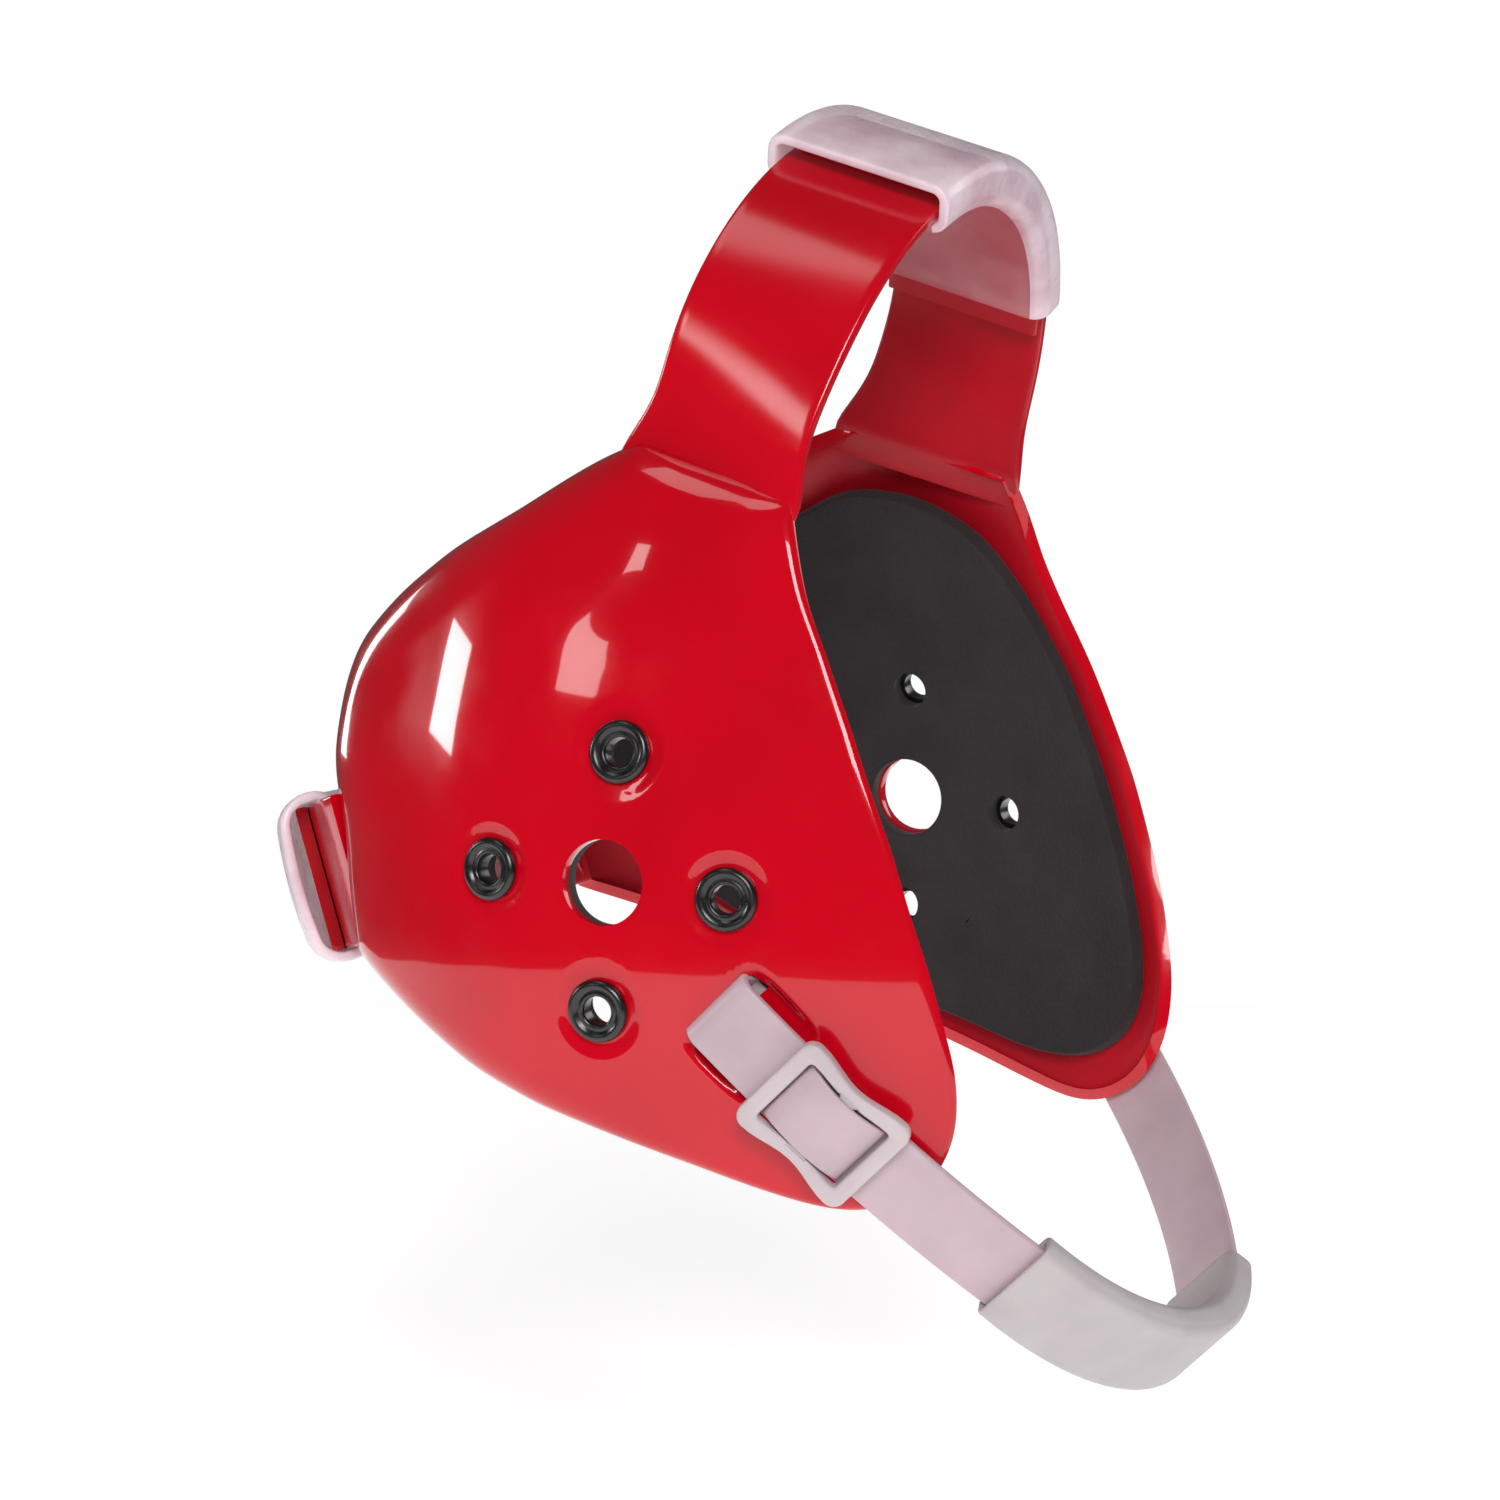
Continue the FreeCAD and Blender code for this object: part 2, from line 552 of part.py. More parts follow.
os.makedirs("parts", exist_ok=True)
for node in NODES:
    found = doc.getObjectsByLabel(node)[0]
    shape = found.Shape
    if shape.isNull() or not shape.isValid() or len(shape.Solids) != 1:
        raise RuntimeError("%s: null, invalid or not one solid (%d)" % (node, len(shape.Solids)))
    shape.exportStep("parts/%s.step" % node)
    box = shape.BoundBox
    print("%-22s %8.0f mm3  x %.1f..%.1f  y %.1f..%.1f  z %.1f..%.1f"
          % (node, shape.Volume, box.XMin, box.XMax, box.YMin, box.YMax, box.ZMin, box.ZMax))

for label, frame_at in (("crown arc", CROWN_FRAME), ("rear arc", REAR_FRAME), ("buckle", BUCKLE_FRAME),
                        ("chin arc", CHIN_FRAME * Placement(Vector(*CHIN_MID, 0), FreeCAD.Rotation()))):
    axis = frame_at.Rotation.multVec(Vector(0, 0, 1))
    along = frame_at.Rotation.multVec(Vector(1, 0, 0))
    print(label, "at", [round(v, 3) for v in frame_at.Base], "axis", [round(v, 4) for v in axis],
          "local x", [round(v, 4) for v in along])
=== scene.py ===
# %% Load the frame
import math

import bmesh
import bpy
from mathutils import Matrix, Vector


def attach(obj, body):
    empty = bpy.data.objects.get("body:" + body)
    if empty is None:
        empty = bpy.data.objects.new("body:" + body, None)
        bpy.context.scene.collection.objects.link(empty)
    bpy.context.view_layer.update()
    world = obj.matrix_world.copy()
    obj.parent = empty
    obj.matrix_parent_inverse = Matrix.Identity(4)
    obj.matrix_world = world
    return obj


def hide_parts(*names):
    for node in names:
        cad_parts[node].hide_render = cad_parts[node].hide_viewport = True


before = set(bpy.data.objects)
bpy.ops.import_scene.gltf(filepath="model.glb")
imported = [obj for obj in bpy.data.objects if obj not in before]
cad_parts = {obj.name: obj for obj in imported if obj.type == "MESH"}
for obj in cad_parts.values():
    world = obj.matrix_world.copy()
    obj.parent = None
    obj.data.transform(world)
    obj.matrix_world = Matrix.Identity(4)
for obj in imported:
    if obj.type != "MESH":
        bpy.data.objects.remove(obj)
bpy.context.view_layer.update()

# %% [markdown]
# The headgear is a pair of moulded ear guards. Every size below is in millimetres, with X the
# wearer's forward, Y the wearer's left and Z up, and each finished mesh is brought down to metres
# at the end. Working in millimetres keeps the numbers the ones a maker would measure.

# %% Sizes shared by several pieces
MM = 0.001
HALF_SPAN = 75.5          # ear hole to middle, over the shell
POLE_X, POLE_Z = -10.0, -12.0
FRONT_CURVE, REAR_CURVE, UPRIGHT_CURVE = 190.0, 80.0, 185.0
SHELL, PAD, PAD_GAP = 2.5, 3.5, 0.3
EAR_HOLE = 8.0
LEAN = math.radians(17.0)
NECK = Vector((12.5, 0.0, 75.0))
CROWN_WIDE, STRAP, LAYER = 34.0, 2.5, 2.8
CROWN_INNER, CROWN_LEG = 49.7, 9.0        # radius of the arc inside the strap, and its straight foot
REAR_WIDE, REAR_INNER, REAR_LEG, TAIL, TAIL_Z = 30.0, 48.7, 28.0, 75.0, 16.0
CHIN_WIDE, CHIN_THICK, CHIN_CURVE = 16.0, 1.8, 46.5
CHIN_MID = Vector((-5.0, 51.0, 0.0))
SIDES = {"right": -1, "left": 1}
ARM = 24.0
EYELETS = {"top": (2, ARM), "front": (ARM, -2), "bottom": (-1, -ARM), "rear": (-ARM, 1)}
print("ear holes", 2 * HALF_SPAN, "mm apart")

# %% [markdown]
# The camera stands off the wearer's right cheek, a little above ear level, with a long lens, so
# the near guard is seen almost face on and the inside of the far one shows beyond it. A long lens
# keeps the two guards close to their true relative size.

# %% Camera
AZIMUTH, ELEVATION = math.radians(25.11), math.radians(6.55)


def camera_turn(azimuth, elevation):
    """Rotation of a camera that looks along +Y at azimuth 0 and down by its elevation."""
    right = Vector((math.cos(azimuth), math.sin(azimuth), 0))
    level = math.cos(elevation)
    ahead = Vector((-math.sin(azimuth) * level, math.cos(azimuth) * level, -math.sin(elevation)))
    up = right.cross(ahead)
    return Matrix((right, up, -ahead)).transposed().to_4x4()


camera_data = bpy.data.cameras.new("camera")
camera_data.lens, camera_data.sensor_width = 108.0, 36.0
camera = bpy.data.objects.new("camera", camera_data)
bpy.context.collection.objects.link(camera)
CAMERA_AT = Vector((372.5, -805.4, 118.7))
camera.matrix_world = Matrix.Translation(CAMERA_AT * MM) @ camera_turn(AZIMUTH, ELEVATION)
bpy.context.scene.camera = camera
print("camera", [round(v, 3) for v in camera.matrix_world.translation])

# %% [markdown]
# Colours are picked as screen colours, which are stored on a curve. Shaders want linear light, so
# one function turns each hex value into linear red, green and blue. A second small function adds a
# node with its settings and links, and every material is built with it.


# %% Material helpers
def linear(hex_colour):
    """A linear RGBA from an sRGB hex value such as "C8001C"."""
    parts = [int(hex_colour[i:i + 2], 16) / 255.0 for i in (0, 2, 4)]
    return tuple(c / 12.92 if c <= 0.04045 else ((c + 0.055) / 1.055) ** 2.4 for c in parts) + (1.0,)


def add(tree, kind, settings=None, **sockets):
    """Add a node. Settings are its properties, and each socket takes a value or another's output.

    A socket is given by its name, or as i and its number where two share a name."""
    made = tree.nodes.new("ShaderNode" + kind)
    for key, value in (settings or {}).items():
        setattr(made, key, value)
    for key, value in sockets.items():
        numbered = key[0] == "i" and key[1:].isdigit()
        into = made.inputs[int(key[1:]) if numbered else key.replace("_", " ")]
        if isinstance(value, bpy.types.NodeSocket):
            tree.links.new(value, into)
        else:
            into.default_value = value
    return made


def material(name, **shader):
    """A new material: its node tree and its principled shader with plain values set."""
    made = bpy.data.materials.new(name)
    made.use_nodes = True
    tree = made.node_tree
    surface = tree.nodes["Principled BSDF"]
    for key, value in shader.items():
        surface.inputs[key.replace("_", " ")].default_value = value
    return made, tree, surface


def per_mm(size):
    """Noise scale, in repeats a metre, for a pattern with features this many millimetres apart."""
    return 1.0 / (size * MM)


BLEND = {"data_type": "RGBA"}      # a mix node's sockets for colours are 6 and 7, and its output 2
print("helpers ready, a pattern 2 mm apart has scale", per_mm(2))

# %% [markdown]
# The guards and their straps are dip-moulded vinyl: a heated former is dipped in liquid PVC, which
# gels in a thick even skin. The outside is as smooth as wet paint, with a slow ripple from the
# flow, and a few fine specks. The inside, which was against the former, is less glossy, and its
# darker red is painted shade for the faces that look in towards the head, away from the lamps.

# %% Red vinyl, outside
RED, RED_DEEP = linear("C8001A"), linear("BC0016")
vinyl, tree, surface = material("dip-moulded red vinyl", Roughness=0.16, IOR=1.52, Coat_Weight=0.85,
                                Coat_Roughness=0.035, Coat_IOR=1.5, Specular_IOR_Level=0.12)
place = add(tree, "TexCoord").outputs["Object"]
flow = add(tree, "TexNoise", Vector=place, Scale=per_mm(38), Detail=2.0).outputs["Fac"]
deep = add(tree, "MapRange", Value=flow, From_Min=0.42, From_Max=0.72).outputs["Result"]
colour = add(tree, "Mix", BLEND, Factor=deep, i6=RED, i7=RED_DEEP).outputs[2]
tree.links.new(colour, surface.inputs["Base Color"])
ripple = add(tree, "TexNoise", Vector=place, Scale=per_mm(17), Detail=1.0).outputs["Fac"]
fine = add(tree, "TexNoise", Vector=place, Scale=per_mm(1.6), Detail=2.0).outputs["Fac"]
slow_bump = add(tree, "Bump", Strength=0.05, Distance=0.0012, Height=ripple)
fine_bump = add(tree, "Bump", Strength=0.025, Distance=0.0002, Height=fine,
                Normal=slow_bump.outputs["Normal"])
tree.links.new(fine_bump.outputs["Normal"], surface.inputs["Normal"])
tree.links.new(slow_bump.outputs["Normal"], surface.inputs["Coat Normal"])
smear = add(tree, "TexNoise", Vector=place, Scale=per_mm(9), Detail=4.0).outputs["Fac"]
gloss = add(tree, "MapRange", Value=smear, From_Min=0.35, From_Max=0.75, To_Min=0.12, To_Max=0.24)
tree.links.new(gloss.outputs["Result"], surface.inputs["Roughness"])
strap_vinyl = vinyl.copy()
strap_vinyl.name = "dip-moulded red vinyl, strap"
strap_vinyl.node_tree.nodes["Principled BSDF"].inputs["Coat Roughness"].default_value = 0.15
print("made", vinyl.name, "and", strap_vinyl.name)

# %% Red vinyl, inside, with its shade painted into the colour
shaded_inner_vinyl, tree, surface = material("red vinyl, former side, painted shade", Roughness=0.42, IOR=1.52,
                                      Coat_Weight=0.1, Coat_Roughness=0.2, Specular_IOR_Level=0.25)
place = add(tree, "TexCoord").outputs["Object"]
mottle = add(tree, "TexNoise", Vector=place, Scale=per_mm(26), Detail=3.0).outputs["Fac"]
dull = add(tree, "MapRange", Value=mottle, From_Min=0.35, From_Max=0.7).outputs["Result"]
# Both reds are darker than the outside red: painted shade on the inward faces, mottled at random.
colour = add(tree, "Mix", BLEND, Factor=dull, i6=linear("BA1022"), i7=linear("A40E1E")).outputs[2]
tree.links.new(colour, surface.inputs["Base Color"])
grain = add(tree, "TexNoise", Vector=place, Scale=per_mm(0.9), Detail=3.0).outputs["Fac"]
grain_bump = add(tree, "Bump", Strength=0.12, Distance=0.0003, Height=grain)
tree.links.new(grain_bump.outputs["Normal"], surface.inputs["Normal"])
print("made", shaded_inner_vinyl.name)

# %% [markdown]
# The ear pads are cut from closed-cell foam with a skived, near-black face. It throws no
# highlight, only a faint bloom at grazing angles from its fine cells, so it gets a high roughness,
# a little sheen and a bump of cells. Real cells are about a third of a millimetre across. They are
# drawn at 0.9 mm so that they show.

# %% Black foam
foam, tree, surface = material("skived closed-cell foam", Roughness=0.88, IOR=1.45, Sheen_Weight=0.12,
                               Sheen_Roughness=0.5, Specular_IOR_Level=0.3)
place = add(tree, "TexCoord").outputs["Object"]
cells = add(tree, "TexVoronoi", {"feature": "F1"}, Vector=place, Scale=per_mm(0.9)).outputs["Distance"]
blotch = add(tree, "TexNoise", Vector=place, Scale=per_mm(14), Detail=4.0).outputs["Fac"]
dark = add(tree, "MapRange", Value=blotch, From_Min=0.35, From_Max=0.68).outputs["Result"]
colour = add(tree, "Mix", BLEND, Factor=dark, i6=linear("2E2A2C"), i7=linear("262324")).outputs[2]
tree.links.new(colour, surface.inputs["Base Color"])
cell_bump = add(tree, "Bump", Strength=0.35, Distance=0.0003, Height=cells)
tree.links.new(cell_bump.outputs["Normal"], surface.inputs["Normal"])
print("made", foam.name)

# %% [markdown]
# The vents are set with black lacquered brass eyelets, and behind the shell a plain ring takes the
# turned-over barrel. Lacquer over metal reads as a black paint with a clear hard coat, worn a
# little thin where fingers and bags rub the crown of the flange.

# %% Black lacquer
lacquer, tree, surface = material("black lacquered eyelet brass", Roughness=0.36, IOR=1.5, Coat_Weight=0.4,
                                  Coat_Roughness=0.22)
place = add(tree, "TexCoord").outputs["Object"]
wear = add(tree, "TexNoise", Vector=place, Scale=per_mm(2.2), Detail=5.0).outputs["Fac"]
rubbed = add(tree, "MapRange", Value=wear, From_Min=0.45, From_Max=0.85).outputs["Result"]
colour = add(tree, "Mix", BLEND, Factor=rubbed, i6=linear("0B0B0C"), i7=linear("1A1919")).outputs[2]
tree.links.new(colour, surface.inputs["Base Color"])
worn = add(tree, "MapRange", Value=wear, From_Min=0.4, From_Max=0.8, To_Min=0.26, To_Max=0.44)
tree.links.new(worn.outputs["Result"], surface.inputs["Roughness"])
print("made", lacquer.name)

# %% [markdown]
# The sleeves that keep the lapped straps together are clear vinyl with a frosted, pinkish cast.
# Refraction through a thin wall is slow to render and grainy, so the body is a milky white that
# lets part of what is behind it show through, more where the wall is thin and less where it is
# cloudy. On the head side, in shade, the frosting hardly shows, so that wall is drawn almost clear
# and the dark strap behind it gives it painted shade.

# %% Frosted sleeve vinyl
frosted, tree, surface = material("frosted clear vinyl", Roughness=0.34, IOR=1.46, Coat_Weight=0.3,
                                  Coat_Roughness=0.14)
place = add(tree, "TexCoord").outputs["Object"]
clouds = add(tree, "TexNoise", Vector=place, Scale=per_mm(16), Detail=3.0).outputs["Fac"]
milky = add(tree, "MapRange", Value=clouds, From_Min=0.35, From_Max=0.7).outputs["Result"]
colour = add(tree, "Mix", BLEND, Factor=milky, i6=linear("F2D9E6"), i7=linear("FBEAF3")).outputs[2]
tree.links.new(colour, surface.inputs["Base Color"])
drawn = add(tree, "TexNoise", Vector=place, Scale=per_mm(3.0), Detail=3.0).outputs["Fac"]
thin = add(tree, "MapRange", {"name": "thickness"}, Value=clouds, From_Min=0.35, From_Max=0.68,
           To_Min=0.52, To_Max=0.86)
tree.links.new(thin.outputs["Result"], surface.inputs["Alpha"])
haze = add(tree, "MapRange", Value=drawn, From_Min=0.3, From_Max=0.7, To_Min=0.24, To_Max=0.42)
tree.links.new(haze.outputs["Result"], surface.inputs["Roughness"])
sleeve_bump = add(tree, "Bump", Strength=0.15, Distance=0.0004, Height=clouds)
tree.links.new(sleeve_bump.outputs["Normal"], surface.inputs["Normal"])
# The head-side copy lets far more through, so the dark strap shows and the wall reads dark: painted shade.
clear = frosted.copy()
clear.name = "frosted vinyl, head side, painted shade"
shade_side_alpha = clear.node_tree.nodes["thickness"].inputs
shade_side_alpha["To Min"].default_value, shade_side_alpha["To Max"].default_value = 0.06, 0.16
print("made", frosted.name, "and", clear.name)

# %% [markdown]
# The chin strap, its sleeve and the buckle are moulded in the same white vinyl, with a warm pink
# tint and a satin face. Strap webs of this kind carry a very fine grain from the mould, drawn here
# at 0.8 mm, and pick up a slight greyness with handling.

# %% White vinyl
SATIN = {"strap": ("C3AFB7", "B9A5AE", 0.42), "buckle": ("C6BDC1", "BEB4B9", 0.36),
         "chin sleeve": ("BAB6B8", "B0ABAE", 0.45)}
satin = {}
for name, (light, dark, rough) in SATIN.items():
    satin[name], tree, surface = material("satin white vinyl, " + name, Roughness=rough, IOR=1.5,
                                          Subsurface_Weight=0.12, Subsurface_Scale=0.003)
    place = add(tree, "TexCoord").outputs["Object"]
    handled = add(tree, "TexNoise", Vector=place, Scale=per_mm(11), Detail=4.0).outputs["Fac"]
    greyed = add(tree, "MapRange", Value=handled, From_Min=0.38, From_Max=0.75).outputs["Result"]
    colour = add(tree, "Mix", BLEND, Factor=greyed, i6=linear(light), i7=linear(dark)).outputs[2]
    tree.links.new(colour, surface.inputs["Base Color"])
    grain = add(tree, "TexNoise", Vector=place, Scale=per_mm(0.8), Detail=2.0).outputs["Fac"]
    satin_bump = add(tree, "Bump", Strength=0.10, Distance=0.0002, Height=grain)
    tree.links.new(satin_bump.outputs["Normal"], surface.inputs["Normal"])
print("made", [m.name for m in satin.values()])

# %% [markdown]
# The shell is a dome: one arc fore and aft in front of the ear and a tighter one behind it, swept
# round a long upright arc. The same small function gives the height and the outward direction
# anywhere on it, and the pads, eyelets and buckle use it to sit on the surface.


# %% The dome's surface
def dome(x, z):
    """Outward reach, in mm, and outward normal of the shell's outer face."""
    curve = FRONT_CURVE if x > POLE_X else REAR_CURVE
    out = HALF_SPAN - curve + math.sqrt(curve ** 2 - (x - POLE_X) ** 2)
    swing = out - (HALF_SPAN - UPRIGHT_CURVE)
    reach = (HALF_SPAN - UPRIGHT_CURVE) + math.sqrt(swing ** 2 - (z - POLE_Z) ** 2)
    slope, lift = math.asin((x - POLE_X) / curve), math.asin((z - POLE_Z) / swing)
    flat = math.cos(slope)
    return reach, Vector((math.sin(slope), flat * math.cos(lift), flat * math.sin(lift)))


def ease(value, low, high):
    """0 below low, 1 above high, and a smooth rise between."""
    t = min(1.0, max(0.0, (value - low) / (high - low)))
    return t * t * (3 - 2 * t)


print("shell stands", round(dome(0, 0)[0], 1), "mm out at the ear")

# %% [markdown]
# The guard's outline starts at the neck, where the crown strap leaves, runs down the straight
# front edge, round the low front corner, back along the jaw and up behind the ear. It is held as a
# few corner points and softened, and read out as a radius at each angle about the ear hole.


# %% Guard outline
def strap_line(along, across):
    """x, z at a distance along and across the line of the rear strap."""
    return (-along * math.cos(LEAN) - across * math.sin(LEAN),
            TAIL_Z - along * math.sin(LEAN) + across * math.cos(LEAN))


def neck_point(across):
    """x, z at a distance across the neck, where the crown strap leaves the guard."""
    return (NECK.x + across * math.cos(LEAN), NECK.z - across * math.sin(LEAN))


NECK_HALF, TAIL_HALF = 17.3, 15.5         # half the width of the neck and of the rear tab
CORNERS = [neck_point(NECK_HALF), neck_point(-NECK_HALF), strap_line(TAIL, -TAIL_HALF),
           strap_line(TAIL, TAIL_HALF)]
GUARD = [CORNERS[0], (34, 52), (44, 30), (53, 7), (60, -16), (63.8, -34), (63.2, -45), (59, -54),
         (51, -59.5), (42, -61), (29, -57.5), (15, -53), (0, -48.5), (-17, -43.5), (-31, -38),
         (-44, -31.5), (-56, -25.5), CORNERS[2], CORNERS[3], (-80, 17), (-79.3, 27), (-74, 38),
         (-61, 49.5), (-47, 58.5), (-30, 67), (-16, 75.5), CORNERS[1]]
EAR_PAD = [(-17, 63), (-8, 67.5), (8, 66), (22, 58.5), (31, 46), (40, 29), (48, 7), (54.5, -14),
           (58.5, -32), (58, -42), (53, -49.5), (42, -53), (30, -51.5), (18, -48), (0, -43.5),
           (-17, -37.5), (-40, -27), (-53, -17), (-62, -4), (-66, 14), (-64, 24), (-60, 32), (-50, 43),
           (-42, 49), (-30, 56.5)]
ANGLES = 360


def radii(points, softened, kept=()):
    """Distance from the ear hole to the outline at each of the angles, softened but for kept corners."""
    found = []
    for step in range(ANGLES):
        angle = 2 * math.pi * step / ANGLES
        ray = Vector((math.cos(angle), math.sin(angle)))
        best = 0.0
        for a, b in zip(points, points[1:] + points[:1]):
            a, b = Vector(a), Vector(b)
            edge = b - a
            cross = ray.x * edge.y - ray.y * edge.x
            if abs(cross) < 1e-9:
                continue
            t = (a.x * edge.y - a.y * edge.x) / cross
            s = (a.x * ray.y - a.y * ray.x) / cross
            if t > 0 and -1e-6 <= s <= 1 + 1e-6:
                best = max(best, t)
        found.append(best)
    fixed = [round(math.degrees(math.atan2(z, x))) for x, z in kept]
    hold = [min([(step - at) % 360 for at in fixed] + [(at - step) % 360 for at in fixed] + [99])
            for step in range(ANGLES)]
    for _ in range(softened):
        found = [r if hold[i] < 2 else (found[i - 1] + 2 * r + found[(i + 1) % ANGLES]) / 4
                 for i, r in enumerate(found)]
    return found


guard_edge = radii(GUARD, 14, CORNERS)
pad_edge = radii(EAR_PAD, 30)
print("guard reaches", round(max(guard_edge), 1), "mm from the ear hole")

# %% [markdown]
# A dipped shell has no cut edge: its rim rolls over. The roll is tight along the straight front
# edge and wide over the top and the back, where the guard turns in towards the head. The neck
# swells into a shoulder below the crown strap, and a shallow dish surrounds each vent. All of
# these are small moves of the dome's surface, so they are gathered in one function.

# %% Roll, shoulder, dishes and the strap's pocket
ROLL = [(-180, 4.5), (-160, 5.5), (-120, 4.5), (-80, 3.0), (-45, 1.6), (0, 0.9), (50, 0.9), (66, 1.6),
        (74, 4.0), (92, 5.0), (104, 8.0), (140, 9.5), (160, 7.0), (180, 4.5)]
CHIN_AT = Vector((23.0, 0.0, -22.0))
ACROSS = Vector((0.72, 0.0, 0.69)).normalized()
DOWN = Vector((ACROSS.z, 0.0, -ACROSS.x))


def roll_width(angle):
    """Width of the rolled rim, in mm, at an angle in degrees about the ear hole."""
    angle = (angle + 180) % 360 - 180
    for (a, low), (b, high) in zip(ROLL, ROLL[1:]):
        if a <= angle <= b:
            return low + (high - low) * ease(angle, a, b)
    return ROLL[0][1]


def shaped(x, z, inset):
    """How far the shell's face moves out (in, if under 0) at x, z, given its distance from the rim."""
    angle = math.degrees(math.atan2(z, x))
    move = 3.6 * ease(z, 40, 66) * ease(x, -22, 6)
    move += 4.5 * ease(-x, 42, 78) * ease(z, -4, 20) * (1 - ease(z, 40, 66))
    roll = roll_width(angle)
    if inset < 1.5 * roll:
        move -= 0.9 * roll * (1 - math.sqrt(max(0.0, 1 - (1 - inset / (1.5 * roll)) ** 2)))
    for ex, ez in EYELETS.values():
        away = math.hypot(x - ex, z - ez)
        move -= 0.75 * (1 - ease(away, 6.2, 9.5))
    spot = Vector((x, 0, z)) - CHIN_AT
    along, across = spot.dot(DOWN), spot.dot(ACROSS)
    trough = (1 - ease(abs(across), 8.4, 11.0)) * ease(along, -2.0, 4.5) * (1 - ease(along, 6.0, 19.0))
    return move - 2.4 * trough


print("rim roll", round(roll_width(120), 1), "mm over the top,", round(roll_width(20), 1), "mm in front")


# %% [markdown]
# Each shell is made from two loops, the ear hole and the outline, bridged and cut into rings. A
# ring layout keeps every edge running with the rim, so gloss flows smoothly round the form, which a
# square grid trimmed to shape wouldn't give. The rings are then lifted onto the dome.


# %% Building on rings
def ring_sheet(edge, hole, rings, lift, side):
    """A sheet of rings from a round hole to an outline, lifted onto the dome by lift(x, z, inset)."""
    bm = bmesh.new()
    bmesh.ops.create_circle(bm, segments=ANGLES, radius=1.0)
    bmesh.ops.create_circle(bm, segments=ANGLES, radius=2.0)
    bmesh.ops.bridge_loops(bm, edges=bm.edges[:])
    spokes = [e for e in bm.edges if abs(e.verts[0].co.length - e.verts[1].co.length) > 0.5]
    bmesh.ops.subdivide_edges(bm, edges=spokes, cuts=rings, use_grid_fill=True)
    for v in bm.verts:
        t = min(1.0, max(0.0, v.co.length - 1.0))
        angle = math.atan2(v.co.y, v.co.x)
        step = math.degrees(angle) % 360 * ANGLES / 360.0
        low = int(step) % ANGLES
        rim = edge[low] + (edge[(low + 1) % ANGLES] - edge[low]) * (step - int(step))
        t = 1 - (1 - t) ** 1.25
        reach = hole + (rim - hole) * t
        x, z = reach * math.cos(angle), reach * math.sin(angle)
        v.co = lift(x, z, rim - reach)
        v.co.y *= side
    bmesh.ops.recalc_face_normals(bm, faces=bm.faces[:])
    middle = min(bm.faces, key=lambda f: (f.calc_center_median() - Vector((0, side * 75, 0))).length)
    if middle.normal.y * side < 0:
        bmesh.ops.reverse_faces(bm, faces=bm.faces[:])
    return bm


def to_object(bm, name, *materials):
    """A mesh object in metres at the origin, from a bmesh in millimetres."""
    bmesh.ops.scale(bm, vec=(MM, MM, MM), verts=bm.verts[:])
    mesh = bpy.data.meshes.new(name)
    bm.to_mesh(mesh)
    bm.free()
    made = bpy.data.objects.new(name, mesh)
    bpy.context.collection.objects.link(made)
    for each in materials:
        mesh.materials.append(each)
    return made


def settle(made):
    """Apply the object's modifiers to its mesh."""
    bpy.context.view_layer.update()
    shape = bpy.data.meshes.new_from_object(made.evaluated_get(bpy.context.evaluated_depsgraph_get()))
    made.modifiers.clear()
    made.data = shape


def shade(made, degrees=32.0):
    """Smooth shading, with a crease wherever two faces meet at more than this angle."""
    bm = bmesh.new()
    bm.from_mesh(made.data)
    for face in bm.faces:
        face.smooth = True
    for edge in bm.edges:
        edge.smooth = len(edge.link_faces) == 2 and edge.calc_face_angle(0.0) < math.radians(degrees)
    bm.to_mesh(made.data)
    bm.free()


def claim(made, body, slot, *nodes):
    """Tie a finished piece to its body and hide the CAD nodes it stands for. The slot is not used."""
    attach(made, body)
    if nodes:
        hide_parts(*nodes)
    return made


# %% [markdown]
# Four vents and a slot go through each guard. Each hole has to point straight out of the curved
# surface, so the tools are cones turned to the dome's normal, gathered into one mesh and taken
# away in a single Boolean, which leaves clean edges and a wall inside every hole.

# %% Eyelet and slot cutters
def on_dome(side, x, z, sunk=0.0):
    """A matrix on the shell in mm: local Z along the outward normal, sunk below the face."""
    reach, normal = dome(x, z)
    normal = Vector((normal.x, side * normal.y, normal.z))
    at = Vector((x, side * reach, z)) - normal * sunk
    return Matrix.Translation(at) @ Vector((0, 0, 1)).rotation_difference(normal).to_matrix().to_4x4()


def cutter(side, radius, slot_size, slot_low=50.0):
    """One mesh of all the holes through a guard: four round ones and the strap's slot."""
    bm = bmesh.new()
    for x, z in EYELETS.values():
        bmesh.ops.create_cone(bm, cap_ends=True, segments=40, radius1=radius, radius2=radius, depth=40,
                              matrix=on_dome(side, x, z))
    centre = CHIN_AT + DOWN * 1.1 + Vector((0, side * (slot_low + 20), 0))
    out = Vector((0, side, 0))
    turn = Matrix((DOWN, out, DOWN.cross(out))).transposed().to_4x4()
    stretch = Matrix.Diagonal((slot_size[0], 40, slot_size[1], 1))
    bmesh.ops.create_cube(bm, size=1.0, matrix=Matrix.Translation(centre) @ turn @ stretch)
    bmesh.ops.recalc_face_normals(bm, faces=bm.faces[:])
    return to_object(bm, "cutter")


VENT_CUT, PAD_VENT = 4.4, 3.75            # radius of the vents in the shell and in the pad
SLOT_CUT, PAD_POCKET = (3.4, 17.4), (9.0, 19.0)   # along and across the strap
POCKET_FLOOR = 67.0                       # how far out the pad's pocket starts


def pierce(made, tool):
    """Cut the tool out of the object, and throw the tool away."""
    cut = made.modifiers.new("pierce", "BOOLEAN")
    cut.operation, cut.object, cut.solver = "DIFFERENCE", tool, "EXACT"
    settle(made)
    bpy.data.objects.remove(tool)


print("vents", 2 * VENT_CUT, "mm across in the shell and", 2 * PAD_VENT, "mm in the pad")
